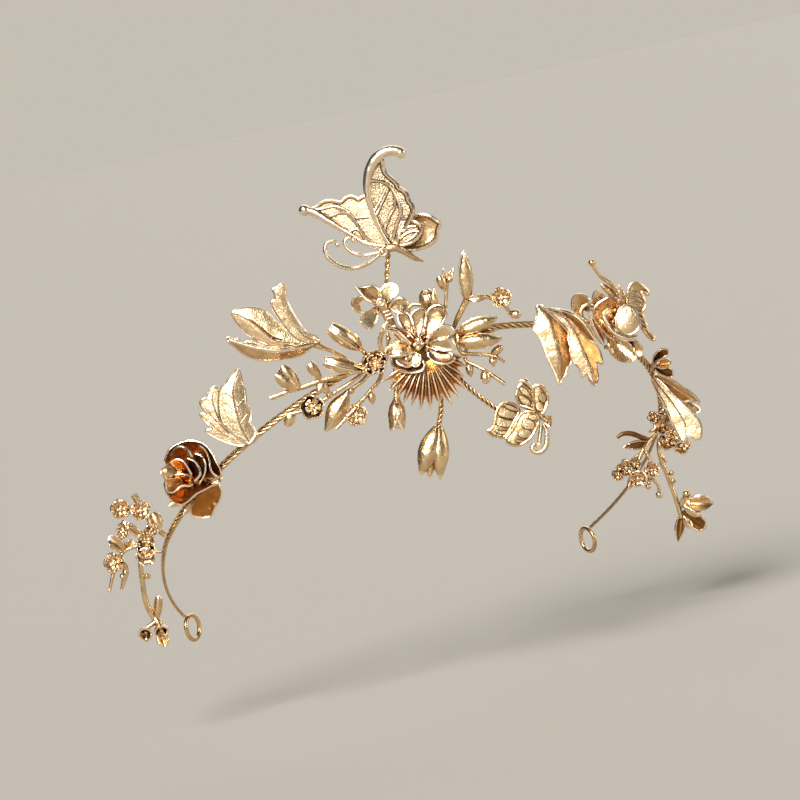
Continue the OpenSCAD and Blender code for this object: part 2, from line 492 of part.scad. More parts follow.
// Blossoms, rods and a drop shaped petal bunched at the left side
module blossom_cluster_left() color(gold) seat(-82) casting(16.8) {
    rod([[-0.9, 0.5, 1.4], [-3.4, 3, 2.5], [-6, 6, 3], [-13, 8, 3.4]], [0.7, 0.8, 0.8, 0.5], 4);
    petal([-4.6, 7.2, 2.6], [-1.8, 1.6, 3.2], 4.4, 0.3, 0, strap);
    rod([[-5.4, 5.4, 2.9], [-9.6, 12.2, 3.4]], [0.7, 1], 4);
    blossom([-13, 8, 3.8], 4.8);
    blossom([-7.6, 7.4, 4.4], 5, [0.2, 0.2, 1]);
    rod([[-3.4, 2.4, 2.4], [-7.5, 1.4, 2.6], [-13, 4.6, 3]], [0.6, 0.6, 0.7], 4);
    blossom([-12, 2, 3], 3.8, [-0.4, 0, 1], 20);
    rod([[-11.6, 2.2, 2.6], [-9, 2, 2.6]], 0.5, 4);
    rod([[-6, 2, 2.6], [-6, -1, 2.8], [-6, -6.2, 3]], [0.8, 1.3, 1.3], 4);
    blossom([-6, -1.4, 4], 4.4, [0, 0.3, 1], 30);
    blossom([-6, -5.2, 4], 4.6, [0, -0.3, 1]);
    rod([[-7, -2, 2.8], [-11.8, -3.6, 2.6], [-14.8, -7.4, 2.4]], 0.5, 4);
    petal([-11.8, -3.6, 2.6], [-16.4, 0.2, 3], 3, -0.6, 0.3, rounded);
    blossom([-14.8, -7.2, 2.8], 4.4, [-0.2, 0, 1], 10);
    rod([[-13.4, -6, 2.4], [-11.8, -9, 2.4], [-13, -14.8, 2.4]], [0.6, 0.7, 0.4], 4);
    rod([[-14.8, -7.6, 2.4], [-16.5, -15.4, 2.4]], [0.6, 0.4], 4);
}

// Hanging sprig with a bead, a bud and two cups at its end
module sprig_left_hanging() color(gold) seat(-97) casting(8.5) {
    rod([[-0.1, 6.9, 7.4], [-4.4, 7, 6.4], [-6, 4, 5.6], [-5.5, -2.5, 4.4], [-4.5, -8, 3.6], [-2.5, -12, 3]],
        [stem_r, stem_r, 0.6, 0.6, 0.7, 0.8], 4);
    bead([-4.2, 0, 4.8], 2);
    rod([[-5.4, 0, 4.8], [-4.2, 0, 4.8]], 0.5, 4);
    seed_bud([-1.6, -12, 3.2], [-1, -5.4, 3.6], 2.2);
    rod([[-2.5, -11.6, 3], [-1.2, -13.4, 3.2], [-0.4, -15, 3.2]], [0.8, 1.2, 0.8], 4);
    cup_wall([-0.8, -13.6, 3.2], [-0.4, -17.6, 3.4], [1, 1.9, 2.1], 0, 330, 4);
    rod([[-2.2, -13, 3.2], [-4.6, -14.8, 3.4]], [0.7, 0.6], 4);
    cup_wall([-4.4, -14.8, 3.2], [-5, -18.4, 3.4], [0.8, 1.7, 1.9], 0, 330, 4);
    petal([-0.8, -16, 3.2], [0.9, -20.2, 3.2], 2, 0.3);
}

// Three lobed leaf right of the hub, hanging over the band
module three_lobed_leaf_right() color(gold) seat(24) translate([0, 0, 0.4]) casting(right_leaf_width) {
    left = [[0, 0.5, 0.6], [0.25, 2.6, 2.2], [0.5, 2.7, 2.8], [0.72, 2.2, 2.6], [0.75, 1.6, 2.4],
            [0.9, 0.8, 1.2], [1, 0.2, 0.3]];
    middle = [[0, 0.5, 0.5], [0.3, 2, 1.8], [0.6, 2.6, 2], [0.72, 2.9, 2.2], [0.74, 2.2, 2.2], [0.84, 2.6, 2],
              [0.86, 1.4, 2], [1, 0.7, 0.8]];
    right = [[0, 0.5, 0.5], [0.3, 1.6, 3], [0.55, 1.6, 3.4], [0.75, 1.8, 2.6], [0.9, 1.4, 1.4],
             [1, 0.4, 0.4]];
    lobe([-1.8, 4.6, 2.4], [4, -16.4, 3.4], left, 0.8, 0.8);
    lobe([-1.6, 4.8, 2.4], [13.6, -17, 0.2], middle, 1, 0.8);
    lobe([-1.4, 5, 2.4], [15.6, -11, -3.2], right, 1, 0.6);
    bead([-1.7, 4.6, 2], 2);
    rod([[-1.7, 4.8, 1.6], [-1.3, 3.2, 0.8], [-1, 1.9, 0.2]], [0.8, 0.7, 0.6]);
}

// Orchid at the right with hollow petals, one of them curled into an open loop
module orchid_right() color(gold) seat(42) casting(orchid_width) {
    heart = [0.6, 2, 4.2];
    petal([-3.6, 4.6, 4], [-9.6, 10.8, 5], 5, 0.8, 0.3, rounded);
    rod([for (a = [0 : 60 : 360]) [-5 + 2.6 * cos(a), 6.4 + 2.6 * sin(a), 4 + a / 600]], 0.55, 4);
    petal([-1.4, 5, 3.6], [-2.2, 13.3, 4.6], 4.6, 0.8, 0, pointed);
    petal([0.6, 3.2, 4], [1.4, 11, 6.6], 6.6, 2.2, 0, rounded);
    petal([1.8, 2.6, 4.6], [10, 5.6, 6.6], 7.8, -1.4, 0.8, rounded);
    petal([1.2, 0.6, 4.2], [5, -7.8, 5], 8.2, 1.2, 0.2, rounded);
    petal([3.4, -0.4, 4.2], [10.6, -5, 4.6], 4.4, 0.8, 0.3, rounded);
    petal([-0.6, -2.8, 5], [-5.6, 6.2, 8.4], 1.6, 0.4);
    rod([[-3.4, 5.6, 3.8], [-0.8, 3.4, 4], [0.6, 1.6, 4], [1, -2.8, 4.2], [-0.8, -3, 4.8]],
        [0.8, 1.3, 1.6, 1, 0.6]);
    rod([heart, [0.8, 0.9, 1.9]], [1.2, 0.8], up = [0, 1, 0]);
}

// Twig above the orchid, ending in a bead, with two strap leaves
module twig_right_top() color(gold) seat(42) casting(10.5) {
    rod([[3.3, 0.4, -4], [4.4, 4, -1.6], [5, 8.6, 0.6], [3.6, 11.4, 1.2], [1.5, 14.4, 1.8], [-1.5, 16.6, 2.2],
         [-3, 18.6, 2.4], [-3.8, 20.2, 2.4]], [stem_r, stem_r, 0.6, 0.6, 0.7, 0.6, 0.5, 0.6]);
    bead([-4, 20.6, 2.4], 2.2);
    petal([4.8, 8.8, 0.8], [-1.8, 15, 1.2], 2, -0.4, 0.2, strap);
    petal([5, 9, 0.8], [3.5, 14.6, 2], 1.8, 0.4, 0.2, strap);
}

// Butterfly seen from its side, right of the orchid
module butterfly_right() color(gold) seat(42) casting(8.2) {
    rod([[7.4, -1.6, -8.8], [7.6, 0.4, -5], [7.8, 3, -2], [8, 6.6, 0.6]], [stem_r, stem_r, 0.7, 0.8]);
    wing([[[6, 7.6, 1.4], [8.4, 6.8, 1]], [[6.2, 10, 1.6], [11.4, 8, 0.6]],
          [[6.6, 12.6, 1.8], [11.3, 10.4, 0.8]], [[7.6, 15.2, 1.8], [10.4, 12.6, 1]],
          [[9.6, 15.4, 1.4], [10.8, 13.2, 1]], [[11.6, 13.8, 1], [11.4, 12.8, 0.8]],
          [[12.8, 11.8, 0.6], [12.1, 11.3, 0.6]]]);
    wing([[[8.4, 7.6, 1], [7.4, 6.6, 1]], [[10.2, 6.8, 0.6], [8.4, 4.4, 0.6]],
          [[11.6, 4.6, 0.2], [9.6, 2.4, 0.4]], [[12.6, 1.8, -0.2], [11.4, 0.6, 0]],
          [[14.2, -1.2, -0.6], [13.4, -1.6, -0.6]]]);
    rod([[6.6, 8.4, 0.8], [8.6, 5.6, 0.6]], [0.6, 0.7]);
}

// Side flower with curled petals
module small_flower_right() color(gold) seat(63) casting(7.7) {
    rod([[0.8, -0.4, 2], [1, 0.6, 3]], [0.7, 1], up = [0, 1, 0]);
    petal([0.8, 1.2, 3], [4.8, 5.6, 4.4], 3.2, 1, 0.4, rounded);
    petal([1.2, 1, 3.2], [6.2, 2, 4], 3.2, 1, 0.4, rounded);
    petal([1, 0.4, 3], [7.3, -2.2, 2.6], 3.2, 1, 0.3, rounded);
    bead([1.2, 0.9, 3.4], 2);
}

// Long leaf folded into a trumpet, pointing down at the right
module long_leaf_right() color(gold) seat(63) casting(14.9) {
    upper = [[0, 0.6, 0.6], [0.3, 1, 2], [0.6, 1.2, 2.2], [0.8, 1.4, 1.8], [0.84, 1.4, 1], [1, 0.6, 0.6]];
    big = [[0, 0.6, 0.6], [0.25, 1.2, 1.6], [0.5, 2.6, 1.6], [0.7, 4.2, 1.6], [0.86, 4.4, 1.4],
           [0.94, 3.4, 1.2], [0.96, 1, 1.2], [1, 0.8, 0.8]];
    lobe([1.6, -2.6, 1.6], [15.4, -11, 0.2], upper, 0.8);
    lobe([1.6, -2.6, 1.6], [15.3, -12.6, -1.4], upper, 0.6);
    lobe([1.6, -2.8, 1.8], [10, -21.6, 1], big, 1.2, 0.6);
    bead([1.6, -2.7, 1.6], 2);
    rod([[1.6, -2.6, 1.4], [1.4, -1.6, -0.2]], 0.7, up = [0, 1, 0]);
}

// Bunch of blossoms at the right side
module blossom_cluster_right() color(gold) seat(83) casting(12.2) {
    // place, width, turn
    blossoms = [[[0.6, -3.6, 3], 5, 0], [[4, -5.6, 3.6], 5.6, 25], [[1.6, -8.2, 3.4], 5, 10],
                [[5.8, -9.6, 3], 4.6, 40], [[-2.4, -1.2, 2.7], 3, 15], [[1.2, -0.3, 2.6], 3, 30]];
    for (b = blossoms) blossom(b[0], b[1], [0.15, 0.1, 1], b[2]);
    rod([[-0.2, -0.2, 2], [0.8, -2.6, 2.2], [2.6, -6, 2.4], [5.8, -9.4, 2.2]], [0.7, 0.9, 1, 0.7], 4);
    rod([[1.6, -8.2, 2.6], [2.4, -5.8, 2.4]], 0.6, 4);
    rod([[-2.4, -1.2, 2], [0.6, -2.4, 2.2], [1.2, -0.3, 2.2]], 0.5, 4);
    seed_bud([0, -4, 2.4], [-3.8, -5.6, 2.6], 1.6);
}

// Hanging sprig of small blossoms under a curled rod
module sprig_right_hanging() color(gold) seat(83) casting(14.5) {
    rod([[-1, -6, -6.8], [-3, -8, -4.6], [-4.6, -10.4, -3], [-6, -13.4, -2], [-7, -17, -1.4]],
        [stem_r, 0.8, 0.7, 0.6, 0.5], 4);
    rod([[-2.8, -7.8, -4.8], [-5.4, -7, -4], [-8, -6, -3.7], [-10.6, -6, -3.6], [-12.6, -7.2, -3.4]], 0.6, 4);
    petal([-3.4, -8.8, -4.4], [-11.2, -10, -3.4], 2.4, 0.5, 0.2, pointed);
    rod([[-5, -11.4, -2.8], [-8.6, -14.2, -2], [-10.4, -16.2, -1.6]], [0.6, 0.5, 0.5], 4);
    blossom([-10, -16, -1], 4.4);
    blossom([-12.2, -18, -1.4], 2.6, [-0.3, 0, 1]);
    rod([[-10.4, -16.2, -1.8], [-12, -17.8, -1.8]], 0.5, 4);
    rod([[-4.6, -10.4, -3], [-2.8, -14, -2.4], [-3, -18.4, -2], [-3.4, -21.4, -1.8]],
        [0.6, 0.6, 0.5, 0.5], 4);
    seed_bud([-7, -16, -1.4], [-6.6, -21.4, -0.8], 3.2);
    seed_bud([-7.6, -18, -1.6], [-9.8, -22.6, -1.2], 1.8);
    rod([[-7, -17, -1.4], [-8, -19, -1.5]], 0.5, 4);
    seed_bud([-2.8, -14.4, -2.2], [-2.2, -18.6, -1.6], 2.8);
    bead([-3.5, -21.6, -1.6], 1.8);
    rod([[-3, -18.4, -2], [-0.6, -21, -2], [-0.2, -23.4, -2]], 0.5, 4);
    bead([-0.2, -24, -2], 2.2);
}

// Flower on a long straight stem, hanging at the right
module stem_flower_right() color(gold) seat(96) casting(17.1) {
    rod([[2.2, 3, 3.9], [1.8, 0.6, 3.6], [2.5, -3.5, 3.6], [5, -10, 3.6], [7.5, -17.4, 3.4], [8.6, -21, 3.2]],
        [stem_r, 0.6, 0.7, 0.7, 0.7, 0.8], 4);
    petal([2.6, -2, 3.6], [4.4, -5, 4], 1.2, 0.2);
    petal([3.4, -6.4, 3.6], [1.8, -3.8, 4], 1.2, 0.2);
    bead([5.6, -7.6, 3.8], 1.7);
    bead([6, -10, 3.8], 1.8);
    rod([[4, -7.4, 3.6], [5.6, -7.6, 3.8]], 0.4, 4);
    bead([10, -14, 3.8], 2.4);
    rod([[8.2, -17.6, 3.4], [9.4, -15.6, 3.6], [10, -14, 3.8]], [0.8, 1.1, 0.7], 4);
    petal([9, -16.6, 3.8], [18.2, -16.8, 4.8], 4.6, 1.4, 0.8, rounded);
    petal([8.8, -17, 4], [14.2, -20.6, 5.4], 2.6, -0.6, 0.4, strap);
    petal([8.8, -19, 3.4], [16, -24.6, 2.6], 4.8, 1.2, 0.4, rounded);
    petal([8.4, -20.4, 3], [7.4, -28.6, 2.8], 2.8, 0.6, 0.2, oval);
    seed_bud([8.8, -20, 3.6], [11, -23.4, 4.2], 2);
}

band_wire();
left_end_ring();
right_end_ring();
centre_flower();
fan_leaf();
five_petal_flower();
small_rosette();
bud_left_upper();
bud_left_lower();
bud_pair_right();
bud_top();
sprig_top();
flower_branch_top();
sprig_right_lower();
sprig_right_under();
twig_left_long();
twig_left_middle();
twig_left_low();
leaf_bud_left();
hanging_bud_small();
hanging_bud_large();
small_butterfly();
large_butterfly();
three_lobed_leaf_front();
leaf_left();
rose_left();
blossom_cluster_left();
sprig_left_hanging();
three_lobed_leaf_right();
orchid_right();
twig_right_top();
butterfly_right();
small_flower_right();
long_leaf_right();
blossom_cluster_right();
sprig_right_hanging();
stem_flower_right();
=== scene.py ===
import bpy
import math
from mathutils import Matrix, Vector


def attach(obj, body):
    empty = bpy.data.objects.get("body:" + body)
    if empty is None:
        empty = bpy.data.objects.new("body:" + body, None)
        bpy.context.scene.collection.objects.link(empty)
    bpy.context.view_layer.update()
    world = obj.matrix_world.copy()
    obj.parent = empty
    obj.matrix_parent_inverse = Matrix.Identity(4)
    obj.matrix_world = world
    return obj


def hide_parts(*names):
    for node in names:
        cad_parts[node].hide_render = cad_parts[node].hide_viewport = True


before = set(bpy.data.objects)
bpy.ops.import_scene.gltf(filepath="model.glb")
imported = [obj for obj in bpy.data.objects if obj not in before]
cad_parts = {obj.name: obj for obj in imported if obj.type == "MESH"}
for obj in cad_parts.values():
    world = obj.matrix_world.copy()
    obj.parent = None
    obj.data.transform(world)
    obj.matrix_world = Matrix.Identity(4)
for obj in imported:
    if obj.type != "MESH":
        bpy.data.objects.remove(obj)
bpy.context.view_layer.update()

# Wound band: strands of gold plated brass wire laid round each other from side to side, about
# 2 mm thick over the forehead and thinning to about 1 mm towards the nape. Everything else is
# soldered or wound onto it.
MM = 0.001
BAND_SPAN, BAND_DEPTH, BAND_DROP = 154, 72, 40
BAND_D, END_WIRE_D = 2, 1
BAND_STRANDS, BAND_LAY = 5, 11
# Degrees from the front: the ends of the band, where it begins to thin and where it is bare wire,
# and the stretch at the left that sags by 2 mm
LEFT_REACH, RIGHT_REACH = 117.5, 126
THICK_TO, BARE_FROM = 70, 95
LEFT_SAG, SAG_FROM, SAG_TO = 2, -15, -85


def band_point(angle):
    """The middle of the band, in millimetres, at an angle from the front."""
    a, drop = math.radians(angle), math.radians(BAND_DROP)
    sag = 0
    if SAG_TO < angle < SAG_FROM:
        sag = LEFT_SAG * math.sin(math.pi * (SAG_FROM - angle) / (SAG_FROM - SAG_TO))
    back = BAND_DEPTH * (1 - math.cos(a))
    return Vector((BAND_SPAN / 2 * math.sin(a) + sag * 0.4, back * math.cos(drop) - BAND_D / 2,
                   -back * math.sin(drop) - sag))


def linear(code):
    """An sRGB hex colour as the linear values that a shader takes."""
    parts = [int(code[i:i + 2], 16) / 255 for i in (0, 2, 4)]
    return tuple(p / 12.92 if p <= 0.04045 else ((p + 0.055) / 1.055) ** 2.4 for p in parts) + (1,)


def node(tree, kind, settings, inputs):
    """Adds a shader node with its settings and its inputs, each an output to link or a value."""
    made = tree.nodes.new(kind)
    for name, value in settings.items():
        setattr(made, name, value)
    for name, value in inputs.items():
        if isinstance(value, bpy.types.NodeSocket):
            tree.links.new(value, made.inputs[name])
        else:
            made.inputs[name].default_value = value
    return made


def plating(name, pale, deep, roughness, grain_mm, relief_mm, hollow_mm, swell_mm):
    """Gold plate on brass: pale where it is open to the light, with painted shade in its hollows,
    turned deep orange there as a painted reflection of the plate in itself.

    The casting has grains of grain_mm that stand relief_mm out, and soft lumps that stand swell_mm
    out. The painted shade, in the colour deep, reaches as far into a hollow as hollow_mm; deep also
    tints random warm patches. roughness is the shader's, for its middle.
    """
    finish = bpy.data.materials.new(name)
    finish.use_nodes = True
    tree = finish.node_tree
    shader = tree.nodes["Principled BSDF"]
    place = node(tree, "ShaderNodeTexCoord", {}, {}).outputs["Object"]
    # Patches where the plate is a little warmer
    patch, lump = 3 * MM, 2 * MM
    patches = node(tree, "ShaderNodeTexNoise", {}, {"Vector": place, "Scale": 1 / patch, "Detail": 3})
    warm = node(tree, "ShaderNodeMapRange", {}, {"Value": patches.outputs["Fac"], "From Min": 0.4,
                                                 "From Max": 0.75, "To Min": 0, "To Max": 0.4})
    # Painted shade and painted reflection: the colour turns deep orange in hollows, where the plate
    # would mirror itself
    hollow = node(tree, "ShaderNodeAmbientOcclusion", {"samples": 8}, {"Distance": hollow_mm * MM})
    shade = node(tree, "ShaderNodeMapRange", {}, {"Value": hollow.outputs["AO"], "From Min": 0.25,
                                                  "From Max": 0.95, "To Min": 1, "To Max": 0})
    both = node(tree, "ShaderNodeMath", {"operation": "MAXIMUM"},
                {0: warm.outputs["Result"], 1: shade.outputs["Result"]})
    colour = node(tree, "ShaderNodeMix", {"data_type": "RGBA"}, {"Factor": both.outputs["Value"]})
    colour.inputs[6].default_value = linear(pale)
    colour.inputs[7].default_value = linear(deep)
    tree.links.new(colour.outputs[2], shader.inputs["Base Color"])
    # Soft lumps left by the wax model, and the grain of the casting sand over them, drawn coarser
    # than sand so that it shows
    swells = node(tree, "ShaderNodeTexNoise", {}, {"Vector": place, "Scale": 1 / lump, "Detail": 1})
    wave = node(tree, "ShaderNodeBump", {}, {"Height": swells.outputs["Fac"], "Strength": 1,
                                             "Distance": swell_mm * MM})
    grain = node(tree, "ShaderNodeTexNoise", {}, {"Vector": place, "Scale": 1 / (grain_mm * MM),
                                                  "Detail": 2, "Roughness": 0.6})
    bump = node(tree, "ShaderNodeBump", {}, {"Height": grain.outputs["Fac"], "Strength": 1,
                                             "Distance": relief_mm * MM, "Normal": wave.outputs["Normal"]})
    tree.links.new(bump.outputs["Normal"], shader.inputs["Normal"])
    polish = node(tree, "ShaderNodeMapRange", {}, {"Value": patches.outputs["Fac"], "From Min": 0.3,
                                                   "From Max": 0.7, "To Min": roughness - 0.06,
                                                   "To Max": roughness + 0.06})
    tree.links.new(polish.outputs["Result"], shader.inputs["Roughness"])
    shader.inputs["Metallic"].default_value = 1
    return finish


# Drawn and plated wire, smooth with a soft shine
gold_wire = plating("gold_plated_wire", "EECB96", "7E4A1C", 0.26, 0.5, 0.03, 1, 0.1)


def section(strands):
    """Outline of strands laid round each other and round a core, as radii at equal turns."""
    reach, steps, core = math.pi / strands, 8, 0.35
    ball = math.sin(reach) / (1 + math.sin(reach))
    outline = []
    for s in range(strands):
        for k in range(steps):
            a = reach * (2 * k / steps - 1)
            mid = 1 - ball
            r = mid * math.cos(a) + math.sqrt(max(ball ** 2 - (mid * math.sin(a)) ** 2, 0))
            outline.append((max(r, core), 2 * reach * s + a))
    return outline


def evenly(route, step, closed=False):
    """Smooth line through the points, with points about a step apart."""
    pts = [Vector(p) for p in route]
    n, line = len(pts), []
    for i in range(n if closed else n - 1):
        b, c = pts[i], pts[(i + 1) % n]
        a = pts[i - 1] if closed or i else b * 2 - c
        d = pts[(i + 2) % n] if closed or i < n - 2 else c * 2 - b
        parts = max(1, round((c - b).length / step))
        for k in range(parts):
            t = k / parts
            line.append(0.5 * (b * 2 + (c - a) * t + (a * 2 - b * 5 + c * 4 - d) * t * t
                               + (b * 3 - a - c * 3 + d) * t ** 3))
    return line if closed else line + [pts[-1]]


def along(values, t):
    """A value read off an evenly spaced list at a share of its length."""
    x = min(max(t, 0), 1) * (len(values) - 1)
    i = min(int(x), len(values) - 2)
    k = x - i
    k = k * k * (3 - 2 * k)
    return values[i] * (1 - k) + values[i + 1] * k


def pick(*things):
    """Selects these and nothing else, the first of them active."""
    bpy.ops.object.select_all(action="DESELECT")
    for thing in things:
        thing.select_set(True)
    bpy.context.view_layer.objects.active = things[0]


def tube(line, radii, outline, finish, turns=0.0, closed=False):
    """Sweeps an outline, or a round of so many steps, along a line.

    radii is a number, or a list read off evenly; turns is the twist in radians for a millimetre.
    """
    bpy.ops.curve.primitive_bezier_curve_add()
    made = bpy.context.object
    curve = made.data
    curve.splines.clear()
    spline = curve.splines.new("POLY")
    spline.points.add(len(line) - 1)
    run, last = 0.0, line[0]
    for i, (point, place) in enumerate(zip(spline.points, line)):
        run += (place - last).length
        last = place
        point.co = (*place, 1)
        point.radius = along(radii, i / (len(line) - 1)) if isinstance(radii, (list, tuple)) else radii
        point.tilt = run * turns
    spline.use_cyclic_u = closed
    curve.dimensions = "3D"
    curve.twist_mode = "MINIMUM"
    if isinstance(outline, int):
        curve.bevel_depth = 1
        curve.bevel_resolution = outline
    else:
        bpy.ops.curve.primitive_bezier_circle_add()
        shape = bpy.context.object
        shape.data.splines.clear()
        ring = shape.data.splines.new("POLY")
        ring.points.add(len(outline) - 1)
        for point, (r, a) in zip(ring.points, outline):
            point.co = (r * math.cos(a), r * math.sin(a), 0, 1)
        ring.use_cyclic_u = True
        curve.bevel_mode = "OBJECT"
        curve.bevel_object = shape
    curve.use_fill_caps = not closed
    pick(made)
    bpy.ops.object.convert(target="MESH")
    made = bpy.context.object
    if not isinstance(outline, int):
        bpy.data.objects.remove(shape)
    made.data.materials.clear()
    made.data.materials.append(finish)
    return made


def assemble(name, parts, where, edge=40):
    """Joins the members of one piece, brings it to its place in metres and hands it to the frame.

    Faces that meet at more than edge degrees keep a sharp edge between them.
    """
    pick(*parts)
    bpy.ops.object.join()
    piece = bpy.context.object
    piece.name = piece.data.name = name + "_finished"
    bpy.ops.object.shade_smooth_by_angle(angle=math.radians(edge))
    piece.matrix_world = Matrix.Scale(MM, 4) @ where
    bpy.ops.object.transform_apply(location=True, rotation=True, scale=True)
    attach(piece, "root")
    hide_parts(name)
    return piece


def band_radius(angle):
    """Full thickness at the front, thinning evenly to bare wire."""
    thinned = (abs(angle) - THICK_TO) / (BARE_FROM - THICK_TO) * (BAND_D - END_WIRE_D)
    return max(END_WIRE_D, min(BAND_D, BAND_D - thinned)) / 2


reach = LEFT_REACH + RIGHT_REACH
band_line = evenly([band_point(-LEFT_REACH + reach * i / 80) for i in range(81)], 0.8)
band_radii = [band_radius(-LEFT_REACH + reach * i / 240) for i in range(241)]
band = tube(band_line, band_radii, section(BAND_STRANDS), gold_wire, turns=2 * math.pi / BAND_LAY)
assemble("band_wire", [band], Matrix(), 60)

# Tie rings: a ring of round wire at each end of the band, closed by soldering and plated with it,
# for a ribbon or a hair pin. Each hangs from the bent end of the band, turned as in the photograph.
RING_D, RING_WIRE = 8.4, 1.3
for name, end, turn in (("left_end_ring", -LEFT_REACH, 43), ("right_end_ring", RIGHT_REACH, -77)):
    across = Vector((math.sin(math.radians(turn)), -math.cos(math.radians(turn)), 0))
    # It lies in line with the last 3 degrees of the band, sagging by its weight
    before_end = end - math.copysign(3, end)
    ahead = (band_point(end) - band_point(before_end)).normalized() - Vector((0, 0, 0.5))
    hang = (ahead - across * across.dot(ahead)).normalized()
    # The ring begins half a wire's thickness from the middle of the band's end
    middle = band_point(end) + hang * (RING_D / 2 + END_WIRE_D / 2)
    bpy.ops.mesh.primitive_torus_add(major_segments=64, minor_segments=16,
                                     major_radius=(RING_D - RING_WIRE) / 2, minor_radius=RING_WIRE / 2)
    ring = bpy.context.object
    ring.data.materials.append(gold_wire)
    side = across.cross(hang)
    where = Matrix((side, hang, across)).transposed().to_4x4()
    assemble(name, [ring], Matrix.Translation(middle) @ where)

# Large butterfly over the forehead: cast in one with its veins, rims and curled feelers, the wing
# cells left rough from the mould and the ridges rubbed bright, their pale tone partly a painted
# highlight, beside grooves of painted shade. It stands on a stem wound from two wires.

# Satin plate over castings: fine matte skin over the soft lumps of the wax model
satin_gold = plating("satin_gold_casting", "F4D4A2", "6C3810", 0.28, 0.5, 0.08, 2.8, 0.25)
# Cells of the wings left rough from the sand mould: grainy, matte and a little grey
sand_gold = plating("sand_cast_gold", "ECD6B0", "7A4C28", 0.38, 0.5, 0.4, 1.3, 0.15)
# Rims and veins, rubbed bright after plating; their near-white tone is partly a painted highlight
bright_gold = plating("rubbed_gold_rim_and_painted_highlight", "FFEFD4", "CC9858", 0.27, 0.8, 0.03, 0.6, 0.15)
# Painted brown shade: in the grooves beside the veins, and on petals, stems and lines that stand in
# shade
brown_shade_gold = plating("painted_brown_shade_gold", "8E6434", "4A2A10", 0.4, 0.5, 0.04, 1, 0.15)


# Most castings stand on the hub, this many degrees from the front
HUB = -5


def seat(angle):
    """Where a casting sits on the band: its own X to the right, Y up and Z to the front.

    It stands square to the photograph's view: 18 degrees round, 5 up and 12 about its own Z.
    """
    where = Matrix.Translation(band_point(angle))
    for turn, axis in ((-18, "Z"), (-5, "X"), (12, "Y"), (90, "X")):
        where = where @ Matrix.Rotation(math.radians(turn), 4, axis)
    return where


def rounded(outline, times=2):
    """Takes the corners off a closed outline, as filing does."""
    line = [Vector((*p, 0)) for p in outline]
    for _ in range(times):
        line = [p.lerp(q, t) for p, q in zip(line, line[1:] + line[:1]) for t in (0.25, 0.75)]
    return line


def runs_left(line):
    """Whether a closed line runs anticlockwise."""
    return sum(p.x * q.y - q.x * p.y for p, q in zip(line, line[1:] + line[:1])) > 0


def finish_with(made, *modifiers):
    """Adds and applies modifiers, each a kind and its settings."""
    pick(made)
    for kind, settings in modifiers:
        added = made.modifiers.new(kind.title(), kind)
        for name, value in settings.items():
            setattr(added, name, value)
        bpy.ops.object.modifier_apply(modifier=added.name)
    return made


def plate(outline, depth, finish, thick=0.7, cell=0.9, soft=2):
    """Cast sheet with a free outline, its front at depth(x, y), cut into squares of about cell mm."""
    line = rounded(outline, soft)
    if not runs_left(line):
        line.reverse()
    bpy.ops.mesh.primitive_circle_add(vertices=len(line), fill_type="NGON")
    made = bpy.context.object
    for corner, place in zip(made.data.vertices, line):
        corner.co = place
    bpy.ops.object.mode_set(mode="EDIT")
    for axis in (0, 1):
        low, high = min(p[axis] for p in line), max(p[axis] for p in line)
        count = max(2, round((high - low) / cell))
        for k in range(1, count):
            at = [0, 0, 0]
            at[axis] = low + (high - low) * k / count
            bpy.ops.mesh.select_all(action="SELECT")
            bpy.ops.mesh.bisect(plane_co=at, plane_no=(1 - axis, axis, 0))
    bpy.ops.object.mode_set(mode="OBJECT")
    for corner in made.data.vertices:
        corner.co.z = depth(corner.co.x, corner.co.y)
    made.data.materials.append(finish)
    return finish_with(made, ("SOLIDIFY", {"thickness": thick, "offset": -1}))


def wire(route, radii, finish=satin_gold, closed=False, step=0.7, sides=3):
    """Round cast member or drawn wire through the points, thick as its radii say."""
    return tube(evenly(route, step, closed), radii, sides, finish, closed=closed)


def ridge(points, depth, radii, finish, lift=0.0, closed=False):
    """Raised vein or rim that follows a sheet."""
    route = [(x, y, depth(x, y) + lift) for x, y, *_ in points]
    return wire(route, radii, finish, closed, 0.6, 2)


def rope(route, strands=3, pitch=4.5):
    """Stem wound from drawn wires, 1.56 mm thick; pitch is the length of a full turn."""
    return tube(evenly(route, 0.5), 0.78, section(strands), gold_wire, turns=2 * math.pi / pitch)


def loop(middle, size, thick, finish, step=0.3):
    """Small ring of round wire that faces the viewer."""
    x, y, z = middle
    turns = [math.pi * k / 4 for k in range(8)]
    line = [(x + size * math.cos(a), y + size * math.sin(a), z) for a in turns]
    return wire(line, thick, finish, True, step)


def bead(place, width, finish=satin_gold, tall=1.0):
    """Small round bead."""
    bpy.ops.mesh.primitive_ico_sphere_add(subdivisions=3, radius=width / 2)
    made = bpy.context.object
    made.data.transform(Matrix.Translation(place) @ Matrix.Diagonal((1, 1, tall, 1)))
    made.data.materials.append(finish)
    return made


# How far each wing stands out, at a place on it
near = lambda x, y: 0.8 + 0.135 * (y - 26) + 0.018 * (x + 9) ** 2 * (1 if y > 30 else 0.3)
far = lambda x, y: -0.3 + 0.19 * (x + 9.4) - 0.01 * (y - 33) ** 2
hind = lambda x, y: -1.9 + 0.12 * (x + 5) + 0.035 * (y - 30 + 0.3 * x) ** 2
lobe_at = lambda x, y: 1.5 + 0.12 * (x + 7) - 0.05 * (y - 29.5) ** 2
near_wing = [(-8.2, 25.9), (-10.5, 28.4), (-12.3, 32.2), (-14, 35.9), (-15, 39.9), (-15.2, 43.6),
    (-14.4, 46.7), (-13.1, 49.4), (-11.6, 50.6), (-10.6, 49.2), (-10.4, 46.8), (-9.5, 45.3), (-8, 44.1),
    (-6.8, 43), (-6.4, 41.7), (-5.2, 41.3), (-4, 40.1), (-3.7, 38.4), (-2.7, 37.2), (-2.2, 35.5),
    (-2.9, 34), (-3.8, 32.2), (-4.6, 30.4), (-5.9, 27.7)]
